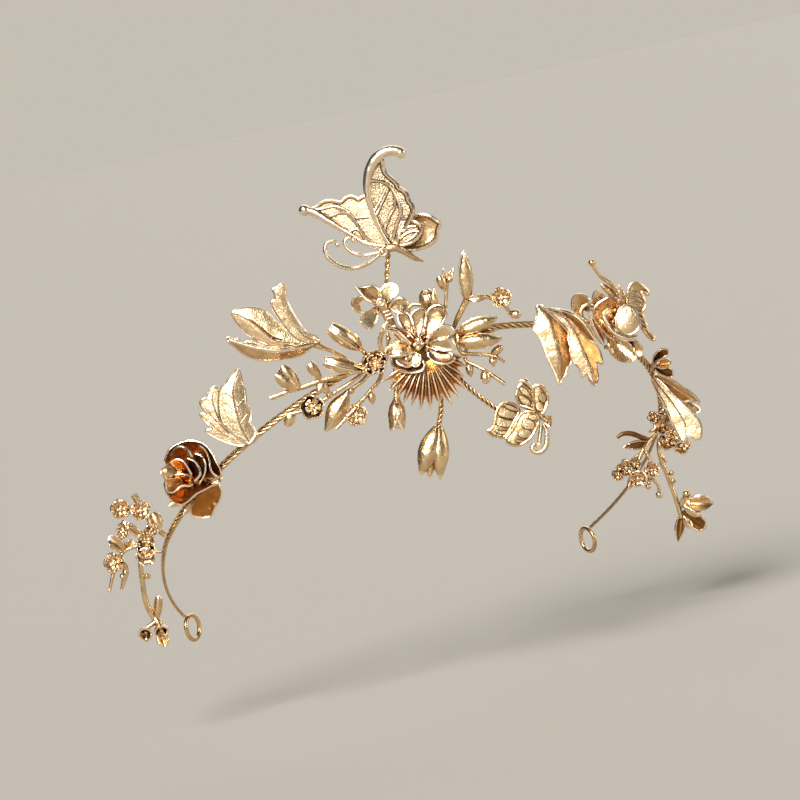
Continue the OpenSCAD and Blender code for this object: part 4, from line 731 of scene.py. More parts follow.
# The flower above it: five petals round a ring, the left one an open loop, on a bent stem that is
# wound three times
parts = [
    drape([(-9.9, 11.1, 5.7), (-11.2, 12.4, 5.4), (-11.5, 14, 5.1), (-10.2, 15.7, 5.1), (-8.4, 16.2, 5.2),
        (-6.6, 15.5, 5.5), (-6.2, 13.9, 5.8), (-6.8, 12.4, 5.9), (-8.4, 11.4, 5.8)],
        [(-10.8, 10.7, 4.4), (-10.3, 10.8, 4.2), (-9.9, 10.7, 4.4)], -1.1, 0.7),
    drape([(-12, 10.5, 5.8), (-13.5, 10.9, 5.6), (-15, 11.8, 5.4), (-16.6, 13.5, 5.1), (-17.9, 15.1, 4.9),
        (-15.9, 14.9, 5.2), (-13.7, 15.4, 5.4), (-11.9, 14.5, 5.7), (-11.3, 12.6, 5.8), (-11.3, 11.2, 5.9)],
        [(-11.7, 10.5, 4.4), (-11.4, 10.6, 4.2), (-11.1, 10.5, 4.4)], 1.1, 0.7),
    wire([(-11.8, 10.6, 5.6), (-13.6, 10.7, 5.9), (-15.2, 11.6, 5.7), (-16.8, 13.4, 5.4), (-18, 15, 5.2)],
        [0.5, 0.65, 0.65, 0.6, 0.5], bright_gold),
    drape([(-16.4, 12.3, 5.8), (-18.4, 11.9, 6.2), (-19.2, 10.9, 6.4), (-18.9, 9.3, 6.4), (-17.7, 8, 6.2),
        (-16.1, 7.7, 5.8)], [(-16.2, 11.3, 4.8), (-17.2, 10.5, 4.4), (-16.7, 9.1, 4.6)], 0.2, 0.75),
    wire([(-16.4, 12.2, 5.6), (-14.6, 11.3, 5.2), (-12.4, 10, 4.8)], [0.45, 0.4]),
    wire([(-16.2, 7.7, 5.6), (-14.2, 8.4, 5.2), (-11.9, 9.5, 4.8)], [0.45, 0.4]),
    drape([(-12.4, 8.6, 5.2), (-14.2, 8.7, 6), (-15.9, 8.1, 6.4), (-16.9, 6.7, 6.6), (-16.8, 5.1, 6.6),
        (-15.5, 3.6, 6.4), (-14.4, 2.9, 6.2), (-13, 4, 6), (-12.1, 5.9, 5.8), (-11.9, 7.7, 5.4)],
        [(-11.7, 9.6, 4.2), (-11.4, 9.2, 4), (-11.1, 9.5, 4.2)], -1.3, 0.7),
    drape([(-9.1, 9.5, 5.4), (-7.4, 11.3, 6.2), (-5.4, 11.9, 6.6), (-3.8, 10.8, 6.6), (-3.9, 9.2, 6.4),
        (-5.2, 7.4, 6), (-6.6, 8.1, 5.6), (-8.3, 8.7, 5.2)],
        [(-10.1, 10, 4.2), (-9.9, 9.6, 4), (-10, 9.3, 4.2)], 1, 0.7),
    loop((-11.2, 10.7, 6.2), 0.9, 0.4, bright_gold), bead((-11.2, 10.4, 4.8), 3),
    wire([(-11.2, 10.4, 4.6), (-9.6, 7.4, 3.8), (-7.6, 3.4, 2.6), (-6, -0.6, 1.5)], [1.5, 1.3, 1.1, 0.7])]
for k in range(3):
    line = [(-10.6 + 0.5 * k, 7.9 - 0.9 * k, 5.3 - 0.3 * k), (-9 + 0.5 * k, 8.5 - 0.9 * k, 5.3 - 0.3 * k)]
    parts.append(wire(line, 0.3, bright_gold))
assemble("five_petal_flower", parts, seat(HUB))

# The orchid's lip is a hood round its throat, its left petal bends into an open loop and the one in
# front at the right is a pale dome. The petals, wire and beads deep in its throat are painted in
# orange shade
dome = lambda x, y: 7.4 - 0.05 * ((x - 5.4) ** 2 + (y - 4) ** 2) + 0.04 * (x - 5.4) - 0.05 * (y - 4)
dome_edge = [(2.4, 3.8), (2.8, 5.8), (3.8, 7.6), (5.4, 8.4), (7, 7.6), (8.2, 6), (8.8, 4.2), (8.8, 2.4),
    (7.8, 1), (6, 0.2), (4, 0.5), (2.8, 1.8)]
parts = [
    drape([(-4.2, 7, 5.6), (-5.2, 9, 5.6), (-4.9, 10.5, 5.6), (-6.9, 11.9, 5.4), (-8.9, 11.7, 5.2),
        (-10, 10, 5), (-9.9, 7.8, 4.8), (-9, 6.2, 4.8)],
        [(-5.6, 6.6, 4.2), (-6.6, 7.4, 3.8), (-7.4, 7, 3.8), (-7.6, 5.8, 4)], 0.4, 0.8),
    loop((-4.9, 6.4, 4.8), 2.4, 0.65, satin_gold, 0.7),
    drape([(-3.6, 7.4, 5), (-4.2, 10, 5), (-3.7, 12.4, 4.8), (-2.7, 13.2, 4.8), (-1.5, 12.6, 4.8),
        (-0.4, 11.2, 5)], [(-2.4, 6.4, 3.6), (-2, 7, 3.6), (-1.4, 6.4, 3.6)], 0.3, 0.7),
    drape([(3.4, 9.6, 7), (1.4, 10.8, 7.4), (-0.7, 10.4, 7.6), (-3, 8.9, 7.6), (-4.2, 6.6, 7.2),
        (-3.4, 4.2, 6.6), (-2.2, 2.6, 6)],
        [(2.6, 6.6, 4), (1.4, 7.4, 3.8), (0, 7, 3.8), (-0.6, 5.6, 3.8), (-0.2, 3.6, 4)], 0.8, 0.9),
    # Painted orange shade on this petal and on the petals, wire and beads of the throat below
    drape([(-2.4, 2.8, 6.2), (-1.4, 1.4, 6.4), (0.4, -0.4, 6.4), (2.2, -1.6, 6.2)],
        [(-0.6, 4.4, 4), (0.4, 3.4, 4), (1.8, 2.4, 4.2)], 0.5, 0.7, orange_shade_gold),
    wire([(-1.4, 6.2, 7), (-0.4, 3.8, 7), (1.2, 1.4, 7.2), (3.2, 0, 7.4), (5.6, -0.7, 7.4), (8.2, -0.2, 7)],
        [0.35, 0.55, 0.6, 0.6, 0.55, 0.4], bright_gold),
    bead((0.4, 5.6, 3.4), 8, satin_gold, 0.35), plate(dome_edge, dome, leaf_gold, 0.6, 0.7),
    ridge(dome_edge, dome, 0.4, bright_gold, -0.1, True),
    petal((2.2, 2.4, 5.4), (2.4, 5.6, 6.2), 2.2, 0.5, 0.3, OVAL, 0.5, orange_shade_gold),
    drape([(0.2, -2.2, 5.4), (0.6, -4.4, 5.6), (2.2, -6.6, 5.8), (4.6, -7.7, 5.8), (7, -7.4, 5.6),
        (8.3, -6.2, 5.4), (7.6, -3.8, 5.4), (5.4, -1.8, 5.4)],
        [(1.2, -0.8, 4.2), (2, -2, 3.8), (3, -2.2, 3.8), (4.2, -1.2, 4.2)], 0.5, 0.8, ruffle=0.3),
    drape([(4.6, -1.8, 5), (7.4, -1.2, 5.2), (9.2, -2.2, 5.2), (10.3, -4.4, 5), (9.4, -6, 4.8),
        (7.6, -5.4, 4.8)], [(4, -1.6, 4), (5, -2, 3.8), (5.4, -2.8, 3.8)], 0.4, 0.7),
    petal((-1.2, -2.2, 4.4), (-4.6, 5, 6), 2.6, 0.6, 0.4, OVAL, 0.6, orange_shade_gold),
    wire([(-5.2, 6.4, 7.4), (-4.2, 3, 6.8), (-2.8, 0.2, 6.2), (-0.8, -2.6, 5.4)], [0.3, 0.5, 0.5, 0.4],
        bright_gold),
    wire([(-3.4, 5.6, 3.8), (-0.8, 3.4, 4.2), (0.6, 1.6, 4.2), (1, -2.8, 4.4), (-0.8, -3, 4.8)],
        [0.8, 1.2, 1.5, 1, 0.6], orange_shade_gold),
    bead((1.2, 5.4, 5), 1.8, orange_shade_gold), bead((2.2, 7, 5), 1.6, orange_shade_gold),
    bead((0.2, 4, 5.2), 1.2, orange_shade_gold), wire([(0.6, 2, 4.2), (0.8, 0.9, 1.9)], 1)]
assemble("orchid_right", parts, seat(42))

# Its petals are painted in brown and orange shade
parts = [
    drape([(0.8, 3.2, 4.6), (2, 4.8, 5), (4, 6, 5), (5.6, 5.4, 4.6), (5.2, 3.8, 4.4), (3.2, 3, 4.4)],
        [(0.8, 1.6, 3), (1.4, 2, 2.8), (1.8, 1.4, 3)], 0.4, 0.6, brown_shade_gold),
    petal((1.2, 1, 3.2), (6.2, 1.9, 4), 3.2, 1.2, 0.4, finish=orange_shade_gold),
    petal((1, 0.4, 3), (7, -2, 2.8), 3.2, 1.2, 0.3, finish=brown_shade_gold),
    bead((1.2, 0.9, 3.4), 2, small_gold), bead((2.2, 1.6, 4), 1.4, bright_gold),
    wire([(0.8, -0.4, 2), (1, 0.6, 3)], [0.7, 1], small_gold)]
assemble("small_flower_right", parts, seat(63))

parts = [
    wire([(2.2, 3, 3.9), (1.8, 0.6, 3.6), (2.5, -3.5, 3.6), (5, -10, 3.6), (7.5, -17.4, 3.4),
        (8.6, -21, 3.2)], [0.5, 0.65, 0.75, 0.75, 0.7, 0.8]),
    petal((2.6, -2, 3.6), (4.4, -5, 4), 1.3, 0.2, 0.1, OVAL, 0.5),
    petal((3.4, -6.4, 3.6), (1.8, -3.8, 4), 1.3, 0.2, 0.1, OVAL, 0.5), bead((5.6, -7.6, 3.8), 1.7),
    bead((6, -10, 3.8), 1.8), wire([(4, -7.4, 3.6), (5.6, -7.6, 3.8)], 0.4), bead((10, -14, 3.8), 2.4),
    wire([(8.2, -17.6, 3.4), (9.4, -15.6, 3.6), (10, -14, 3.8)], [0.8, 1.1, 0.7]),
    petal((9, -16.4, 3.8), (18, -16.6, 4.6), 4.6, 1.8, 0.8, ROUND, 0.9, small_gold),
    petal((8.8, -17, 4.2), (14, -20.2, 5.6), 3, -0.8, 0.5, ROUND, 0.8),
    # This petal and the long one below are painted in brown shade
    petal((8.8, -19, 3.2), (15.8, -24.4, 2.4), 4.8, 1.6, 0.4, ROUND, 0.8, brown_shade_gold),
    petal((8.6, -18, 3.8), (10.4, -14.8, 4.6), 3, 0.6, 0.4, ROUND, 0.6),
    petal((8.4, -20.4, 3), (7.4, -28.4, 2.8), 3, 0.8, 0.2, OVAL, finish=brown_shade_gold),
    petal((9, -20.2, 4), (11.4, -24.2, 4.4), 2.2, -0.6, 0.3, ROUND, 0.6),
    bead((10, -21.6, 3.9), 2, bright_gold, 1.4)]
assemble("stem_flower_right", parts, seat(96))

# Fan leaf under the large flower: cast in thin sheet, pleated from its root into narrow ribs that
# end in pointed teeth, its plate a warmer gold. A bent stem holds it under the flower.

# Rubbed pale on its ribs, partly a painted highlight, with painted brown shade between them
fan_gold = plating("fan_leaf_gold", "EAAE62", "7A3C0A", 0.26, 0.5, 0.1, 1.6, 0.3)
FAN_ROOT, FAN_HEART_R, FAN_DOME = (1, -2.5, 3.9), 2.4, 0.7
# Direction and reach of each tooth
teeth = [(-8, 11.2), (-21, 12), (-34, 12.6), (-44, 15.2), (-55, 15.4), (-65, 16.6), (-76, 15.6), (-86, 16),
    (-96, 16.2), (-105, 15.4), (-114, 15.8), (-123, 15.4), (-133, 15), (-146, 15)]


def fan_at(u, t):
    """The pleated sheet, from its root to its teeth."""
    k = (u + 1) / 2 * (len(teeth) - 1)
    i = min(int(k), len(teeth) - 2)
    between = k - i
    tooth = abs(2 * between - 1)
    angle = math.radians(teeth[i][0] * (1 - between) + teeth[i + 1][0] * between)
    reach = (teeth[i][1] * (1 - between) + teeth[i + 1][1] * between) * (0.8 + 0.2 * tooth ** 1.5)
    r = FAN_HEART_R + (reach - FAN_HEART_R) * t
    pleat = (abs(2 * ((2 * between) % 1) - 1) - 0.5) * 0.5 + (tooth - 0.5) * 0.25
    x, y, z = FAN_ROOT
    return Vector((x + r * math.cos(angle), y + r * math.sin(angle),
                   z + math.sin(math.pi * t) * FAN_DOME + pleat * min(1, 1.6 * t)))


def fan_rib(angle, reach):
    """A rubbed rib, its pale tone partly a painted highlight, on the crest of a pleat, 0.85 mm out."""
    a, (x, y, z) = math.radians(angle), FAN_ROOT
    line = []
    for share, t in ((0.35, 0.3), (0.6, 0.5), (0.8, 0.75), (0.99, 1)):
        r = reach * share
        line.append((x + r * math.cos(a), y + r * math.sin(a), z + 0.85 + math.sin(math.pi * t) * FAN_DOME))
    return wire(line, [0.2, 0.26, 0.2], bright_gold)


parts = [skin(fan_at, 12, 104, fan_gold, 0.5, 0.5)] + [fan_rib(angle, reach) for angle, reach in teeth]
# The stem under the flower is painted in orange shade
parts.append(wire([(2.8, -3.4, 3.5), (3, -1.4, 2.6), (2.6, 0.5, 1)], 0.6, orange_shade_gold))
assemble("fan_leaf", parts, seat(HUB))

# Rose at the left: nested cast petals with rolled rims, each drawn from its rim down into the heart,
# on a calyx behind. The plate inside is a deep brown gold.

# Brown gold, with painted shade in its hollows; pale only on its rims, rubbed and partly a painted
# highlight
rose_gold = plating("brown_rose_gold", "DCA666", "804618", 0.28, 0.5, 0.08, 2, 0.4)
# The same, darker, as painted shade on the petal below
shaded_rose_gold = plating("painted_shade_rose_gold", "B87838", "6A380E", 0.28, 0.5, 0.08, 2, 0.4)
parts = [
    # The petals behind, from the upper left round to the right
    drape([(-10.4, 7, 3.5), (-8.8, 10.6, 3.8), (-5.4, 12.5, 4.3), (-2.5, 12.9, 4.8), (0.7, 12, 5.4),
        (3, 9.4, 6), (4.2, 7, 6.5), (5.2, 5, 6.6), (5.7, 2.4, 6.4)],
        [(-5, 3, 1.8), (-3, 5, 1.8), (-0.5, 4.5, 1.8), (0.5, 2, 1.8)], 1.6, 0.7, rose_gold),
    drape([(-8.4, 8.9, 5.8), (-7, 11.1, 6.6), (-4.8, 11.3, 7.2), (-3.2, 10, 7.2), (-2.5, 7.9, 6.8)],
        [(-5, 5, 3), (-3.6, 6, 3), (-2.4, 5.4, 3)], 0.8, 0.9, rose_gold),
    drape([(-0.6, 11.6, 6), (1.2, 10.2, 6.8), (2.4, 7.4, 7.9), (2.6, 5, 8.3), (3.6, 3.4, 8.1),
        (5.2, 2.6, 7.4)], [(-2, 5, 3), (-0.6, 4.4, 3), (0, 2.6, 3)], 1, 0.7, rose_gold),
    drape([(-8.9, 7, 7.6), (-7, 7.9, 8.4), (-5, 7.5, 8.9), (-3.6, 5.7, 9), (-2.5, 3.4, 8.6)],
        [(-5.4, 3.6, 4), (-4, 4.2, 4), (-3, 3, 4)], 0.5, 0.75, rose_gold),
    drape([(-3.9, 8.2, 8.2), (-1.8, 7.4, 8.8), (-0.4, 5.6, 9.2), (-0.1, 3.4, 9.2), (-1.8, 1.6, 8.8)],
        [(-3.6, 4.4, 4.4), (-2.4, 4, 4.4), (-2.2, 2.8, 4.4)], 0.6, 0.9, rose_gold),
    drape([(-2, 9.4, 7.4), (0.4, 8.6, 8), (1.4, 6, 8.4), (1, 3.4, 8.4), (-0.6, 0.8, 8)],
        [(-2.6, 4.6, 3.6), (-1, 4, 3.6), (-1, 2, 3.6)], 0.8, 0.6, rose_gold),
    drape([(-7.5, 3.4, 8.6), (-5.9, 3.9, 9), (-4.1, 3.6, 9.2), (-2.5, 3.1, 9)],
        [(-5.2, 2, 6), (-4.2, 2.2, 6), (-3.6, 1.8, 6)], 0.2, 0.7, rose_gold),
    drape([(-9.8, 2.6, 7.6), (-9.9, 0.4, 7.8), (-9.4, -1.1, 8), (-8, -1.6, 8.4), (-6.6, -0.7, 8.6),
        (-5.1, 0.6, 8.6), (-3.4, 0.2, 8.6), (-2, 1, 8.4)], [(-6, 2.6, 5), (-5.4, 1.4, 5), (-4.2, 1.4, 5)],
        0.6, 0.8, rose_gold),
    drape([(-10.4, 1.4, 5.6), (-9.6, -1.8, 6), (-8, -3.9, 6.4), (-5.8, -5, 6.8), (-3.5, -3.9, 7.4),
        (-1.6, -2.1, 7.8), (1.1, -0.7, 8), (3.4, 0.6, 7.8), (5, 1.3, 7.4)],
        [(-6, 1.6, 3), (-4.6, 0.4, 3), (-2.6, 0.4, 3), (-1, 1.6, 3)], 0.8, 0.75, rose_gold),
    # The large petal at the lower right, painted darker as shade
    drape([(4.8, 1.2, 6), (5.6, -0.8, 5.6), (5.2, -3.2, 4.8), (3.8, -6.2, 3.8), (2.4, -8.3, 3),
        (-0.8, -8.9, 2.6), (-2.8, -8, 2.8), (-3.1, -5.8, 3.4)],
        [(2, 0, 4.8), (0.6, -1, 4.6), (-1, -2, 4.4), (-1.6, -3, 4.2)], 0.9, 0.7, shaded_rose_gold, 0.7),
    # Folds at the edge, the beads of the heart, the post and two sepals
    petal((-7, 4.4, 6), (-11.2, 3.8, 7), 3.2, -0.7, 0.3),
    drape([(-9.6, 6.4, 6), (-10.4, 4.4, 6), (-10.2, 2, 6.2)],
        [(-5.6, 4.4, 3), (-6, 3.4, 3), (-5.6, 2.4, 3)], 0.4, 0.6, rose_gold),
    petal((2.8, 1, 7.4), (5.8, 2.8, 6.8), 2, 0.5, 0.2), bead((-3.6, 2.6, 5), 3, rose_gold),
    bead((-6.2, 2.2, 3.6), 6, rose_gold, 0.5), bead((-1, 2.4, 2.4), 5, rose_gold),
    wire([(0.4, 1.6, 2.6), (0, 1, 0.6), (-0.6, -0.6, -1.2)], [1.4, 1, 0.8], rose_gold),
    petal((-4, -2.6, 3), (-9.4, -5.4, 3.4), 3, -0.5, 0.4, OVAL),
    petal((-2, -3, 2.6), (-5.4, -8, 3), 2.4, -0.5, 0.4, OVAL)]
assemble("rose_left", parts, seat(-63))

# Buds: half open or closed, cast hollow, with the slits between their leaves left open. They sit on
# round stems that end at the band, the large hanging one on a stem wound from three wires.


def husk(root, tip, radii, start, end, rim=0.65, flat=1.0, face=(0, 0, 1), finish=satin_gold):
    """Part of a cupped wall round an axis, from the angle start to the angle end, its lip rounded."""
    root, tip = Vector(root), Vector(tip)
    v = tip - root
    s = v.cross(face).normalized()
    n = s.cross(v).normalized()

    def place(u, t):
        a = math.radians(start + (end - start) * (u + 1) / 2)
        r = along(radii, t)
        # The corners of the lip stand back by a tenth of the length
        t *= 1 - 0.1 * u * u * t
        return root + v * t - s * (r * math.cos(a)) + n * (r * flat * math.sin(a))
    return skin(place, 10, 10, finish, rim)


def split_bud(root, tip, radii, start=10):
    """Small bud of two cupped halves with a slit between them."""
    return [husk(root, tip, radii, start, 170, 0.5), husk(root, tip, radii, 190, 350, 0.5)]


def open_bud(root, tip, width, gape=0.4, finish=satin_gold):
    """Bud of two leaves that part at the tip by gape, with two shorter ones inside them."""
    w = width / 2
    side = [w * 0.35, w * 0.85, w, w * 0.9, w * gape]
    mid, front, back = (Vector(root).lerp(Vector(tip), share) for share in (0.12, 0.93, 0.9))
    return [husk(root, tip, side, -75, 78, finish=finish), husk(root, tip, side, 102, 255, finish=finish),
            husk(mid, front, [s * 0.9 for s in side], 200, 340, 0.5, finish=finish),
            husk(mid, back, [s * 0.86 for s in side], 50, 130, 0.5, finish=finish)]


parts = open_bud((-17, -1.6, 5.8), (-25.5, 4.3, 7.4), 4.6, 0.5)
parts += [
    wire([(-15.2, -4, 2.8), (-15.9, -2.6, 4.8), (-17.4, -1.3, 5.9)], [0.55, 0.6, 0.9]),
    petal((-16.6, -2, 5.4), (-18.2, 2.6, 5), 1.6, 0.3, 0.2, OVAL, 0.5)]
assemble("bud_left_upper", parts, seat(HUB))

parts = open_bud((-16.4, -7.7, 7.2), (-27, -5, 8.6), 4)
parts.append(wire([(-14.1, -5.2, 4.2), (-15.2, -6.4, 5.9), (-16.9, -7.6, 7.3)], [0.55, 0.6, 0.9]))
assemble("bud_left_lower", parts, seat(HUB))

parts = []
for root, tip, w in (((9.4, 2, 0.6), (20.5, 6.6, 2), 2.2), ((9.6, -0.4, 1.8), (21.8, 0.8, 2.6), 2)):
    side = [w * 0.35, w * 0.9, w, w * 0.8, 0.25]
    parts += [husk(root, tip, side, 20, 190), husk(root, tip, side, 205, 372)]
parts += [
    petal((10.2, 1.2, 0.4), (20.9, 3.2, 0.4), 2.8, 0.6, 0.3, POINTED),
    wire([(9.8, -0.4, 1.8), (9.6, 2, 0.5), (8.8, 1.6, -1)], [1, 1.1, 0.8])]
assemble("bud_pair_right", parts, seat(HUB))

parts = open_bud((2.5, 8.3, 1.2), (0.9, 14.4, 1.6), 4.8, 0.25)
parts += [
    petal((2.8, 8.8, 2.4), (3.3, 14.9, 2.6), 3, -0.9, 0.6, POINTED, 0.6),
    wire([(2.2, 9, 1.3), (-1, 10.2, 1), (-3.4, 9.6, 0.8), (-4, 6, 0.8), (-3.2, 3, 0.8), (-2.3, 0.5, 0.6)],
        0.55)]
assemble("bud_top", parts, seat(HUB))

parts = [
    husk((-20.6, -13.8, 0.4), (-26.6, -24.6, 0.8), [0.7, 2.1, 2.8, 2.6, 1.6, 0.4], 8, 172, 0.5, 0.55),
    husk((-20.6, -13.8, 0.4), (-26.6, -24.6, 0.8), [0.6, 1.9, 2.6, 2.4, 1.4, 0.4], 188, 352, 0.5, 0.5),
    wire([(-20.6, -14, 1.4), (-23.4, -18.8, 2.3), (-26.4, -24.2, 1.4)], [0.3, 0.22, 0.2], bright_gold),
    wire([(-12.9, -6.5, 2.3), (-16.4, -10.6, 1.2), (-20.4, -13.5, 0.6), (-21.4, -15, 0.6)],
        [0.55, 0.55, 0.6, 1]),
    bead((-19.4, -13.2, 1.2), 1.8)]
assemble("leaf_bud_left", parts, seat(HUB))

parts = open_bud((-7, -15.6, 0.8), (-7, -24.2, 1.2), 4.6, 0.8, small_gold)
parts += [
    wire([(-7.9, -18.4, 2.8), (-6.8, -20.4, 3.1), (-8, -23.6, 2.8)], 0.35, bright_gold),
    wire([(-6.2, -18.8, 2.8), (-7, -20.8, 3.1), (-5.6, -23.8, 2.8)], 0.35, bright_gold),
    wire([(-8.1, -4, 1.6), (-7.4, -8, 1), (-7.1, -12, 0.8), (-7, -16.4, 0.8)], [0.55, 0.55, 0.6, 1])]
assemble("hanging_bud_small", parts, seat(HUB))

parts = [
    husk((4.2, -22.8, 1), (-0.8, -36.4, 1.4), [0.7, 2.2, 2.9, 2.9, 2, 0.5], 5, 172, 0.6, 0.85),
    husk((4.4, -22.8, 1), (4.6, -37.8, 1.4), [0.7, 1.9, 2.5, 2.4, 1.5, 0.3], 0, 168, 0.6, 0.85),
    husk((4.2, -22.8, 0.6), (2, -35.8, 0.2), [0.7, 2.6, 3.4, 3.2, 2.2, 0.9], 190, 350, 0.6, 0.7),
    petal((2.3, -30.6, 1.6), (1.7, -37.2, 1.6), 2.4, -0.8, 0.4, OVAL, 0.5),
    rope([(3.1, -0.6, -1.1), (3.9, -3, -0.6), (4.6, -8, 0.4), (5, -17.5, 0.8), (4.2, -23.6, 1)])]
assemble("hanging_bud_large", parts, seat(HUB))

# Sprigs and twigs round the hub: round cast stems with small buds, bead ends and tiny blossoms of
# five cupped petals, soldered to the band.


def seed(root, tip, width):
    """Small closed bud."""
    a, b = Vector(root), Vector(tip)
    return wire([a, a.lerp(b, 0.3), a.lerp(b, 0.6), a.lerp(b, 0.85), b],
                [0.35, width * 0.42, width / 2, width * 0.4, 0.15], step=0.4)


def blossom(middle, width, face=(0, 0, 1), turn=0, finish=small_gold):
    """Tiny flower of five cupped petals round a bead, facing a way."""
    z = Vector(face).normalized()
    x = z.cross((0.1, 1, 0.2)).normalized()
    where = Matrix((x, z.cross(x), z)).transposed().to_4x4()
    where = Matrix.Translation(middle) @ where @ Matrix.Rotation(math.radians(turn), 4, "Z")
    made = [bead((0, 0, width * 0.12), width * 0.26, bright_gold)]
    for k in range(5):
        a = 2 * math.pi * k / 5
        way = Vector((math.cos(a), math.sin(a), 0))

        def place(u, t):
            out = 0.1 + 0.44 * t * (1 - 0.25 * u * u * t)
            aside = u * width * 0.24 * along((0.3, 0.8, 1, 0.8), t)
            lift = 0.1 * u * u * t + 0.2 * t * t
            return way * (width * out) + way.cross((0, 0, -1)) * aside + Vector((0, 0, width * lift))
        made.append(skin(place, 6, 6, finish, 0.8))
    for part in made:
        part.data.transform(where)
    return made


parts = [
    wire([(5, 2.8, -1.5), (5.6, 5.5, -1), (6.4, 9.5, -0.6), (6.6, 13, -0.4), (6.7, 16.6, -0.2)],
        [0.5, 0.6, 0.55, 0.5, 0.6]),
    husk((6.2, 14.2, -0.4), (4.5, 18, 0.2), [0.5, 1.1, 1.2, 0.7], 20, 160, 0.5),
    husk((6.2, 14.2, -0.4), (4.5, 17.8, 0.2), [0.5, 1.1, 1.2, 0.7], 190, 350, 0.5),
    petal((6.7, 16.4, -0.2), (8.8, 20.4, 0.2), 1.5, 0.4, 0.2, OVAL, 0.5),
    petal((6.7, 16.4, -0.2), (5.7, 20.2, 0.2), 1, 0.3, 0.2, OVAL, 0.5),
    seed((6.9, 16.2, 0), (8.2, 18, 0.4), 1.7)]
assemble("sprig_top", parts, seat(HUB))

parts = [
    wire([(8.5, 3.7, -2.7), (9.8, 6.8, -1.6), (12.2, 11.4, -0.6)], [0.6, 0.8, 0.9]),
    husk((12.3, 11, -0.6), (11.3, 25, 0.6), [0.6, 1.5, 2, 1.9, 1.3, 0.3], 188, 352, 0.7),
    husk((12.3, 11.4, -0.4), (11.4, 24.4, 0.6), [0.4, 1.2, 1.7, 1.6, 1, 0.2], 20, 160, 0.5, 0.35),
    seed((12.2, 11.4, -0.6), (18, 12.4, -0.8), 2.2),
    petal((12.6, 11.6, -0.2), (16.8, 12.2, 0), 2, 0.5, 0.3, OVAL, 0.5),
    wire([(17.4, 12.3, -0.8), (19.4, 11.8, -1.2), (21.5, 11.8, -1.8), (22.9, 9.4, -3), (24.4, 7.2, -5)],
        [0.6, 0.7, 0.7, 0.6, 0.5]),
    *split_bud((24, 7.7, -4.6), (26.9, 7.4, -4), [0.4, 1.1, 1.2, 0.7])]
parts += blossom((21.5, 12, -0.9), 5.4)
assemble("flower_branch_top", parts, seat(HUB))

parts = [
    wire([(9.2, 0.9, -3), (10.6, -2.8, -2.2), (14, -3.3, -1.8), (17.5, -3.5, -1.4), (20.3, -4.2, -1),
        (22.4, -5.6, -1)], [0.55, 0.55, 0.6, 0.6, 0.55, 0.4]),
    seed((18.6, -3.8, -1.2), (22, -1, -0.6), 2.4), bead((21, -1.7, -0.6), 2),
    seed((19, -3.9, -1.1), (19.3, -6.8, -0.6), 2.2)]
assemble("sprig_right_lower", parts, seat(HUB))

parts = [
    wire([(12.4, 1.6, -4.1), (12, -2.5, -4.4), (11.8, -5, -3.6), (14.2, -6.3, -2.8), (16.9, -7.7, -2),
        (21, -10.5, -1.4), (22.5, -11.6, -1.2)], [0.55, 0.55, 0.55, 0.55, 0.6, 0.65, 0.6]),
    seed((12.4, -5.2, -3.4), (13.2, -9.6, -2.4), 2.2),
    *split_bud((17, -7.7, -2), (17.3, -11.4, -1.2), [0.4, 1.2, 1.3, 0.7])]
assemble("sprig_right_under", parts, seat(HUB))

parts = [
    wire([(-16.4, -7.6, 4.8), (-21.5, -9, 4.6), (-27, -10.2, 4.8), (-32, -12, 4.6), (-37, -13.5, 4.4),
        (-41.4, -15.1, 4.2)], [0.55, 0.55, 0.7, 0.7, 0.6, 0.75]),
    husk((-33.6, -12.6, 4.6), (-38.2, -6.2, 5.8), [0.7, 1.5, 1.9, 1.7, 0.8], 10, 170, 0.6),
    husk((-33.8, -12.8, 5), (-40, -8.6, 6.4), [0.7, 1.4, 1.8, 1.6, 0.8], 10, 170, 0.6),
    husk((-33.8, -12.8, 4.6), (-39, -7.4, 5.6), [0.7, 1.6, 2, 1.8, 1], 190, 350, 0.6),
    husk((-27.6, -10.2, 5), (-30.8, -5.6, 5.6), [0.5, 0.9, 1.3, 1.5, 1.1], 10, 350, 0.6),
    petal((-26.4, -10.4, 4.4), (-28.6, -14, 5), 3, -0.9, 0.6, OVAL, 0.6)]
assemble("twig_left_long", parts, seat(HUB))

parts = [
    wire([(-15, -7.5, 2.9), (-17.4, -9.4, 2.8), (-20.5, -11.5, 2.6), (-27, -15.8, 3.4), (-30, -17.6, 3.8),
        (-33, -18.7, 3.6), (-36.6, -19.5, 3)], [0.55, 0.55, 0.6, 0.65, 0.6, 0.5, 0.5]),
    petal((-35.4, -19, 3.2), (-37, -23, 2.8), 3.2, -0.8, 0.4, STRAP, 0.6),
    petal((-24.6, -13.9, 3.8), (-28.4, -12, 5), 1.7, 0.4, 0.2, OVAL, 0.5), bead((-25.4, -14.4, 3.6), 1.6)]
parts += blossom((-30, -17.6, 4.6), 6.6) + blossom((-29.8, -17.4, 5.4), 4, (0.1, 0, 1), 36)
assemble("twig_left_middle", parts, seat(HUB))

parts = [
    wire([(-10.6, -5.3, 2.1), (-11.6, -10, 2), (-14, -13, 3), (-17.5, -17, 4.4), (-20.6, -20.4, 4.8),
        (-23.4, -23.4, 5)], [0.55, 0.55, 0.55, 0.6, 0.6, 0.45]),
    seed((-14, -13.4, 3), (-13.6, -17, 3), 2.2)]
parts += blossom((-18, -19.8, 4.4), 5.8)
assemble("twig_left_low", parts, seat(HUB))

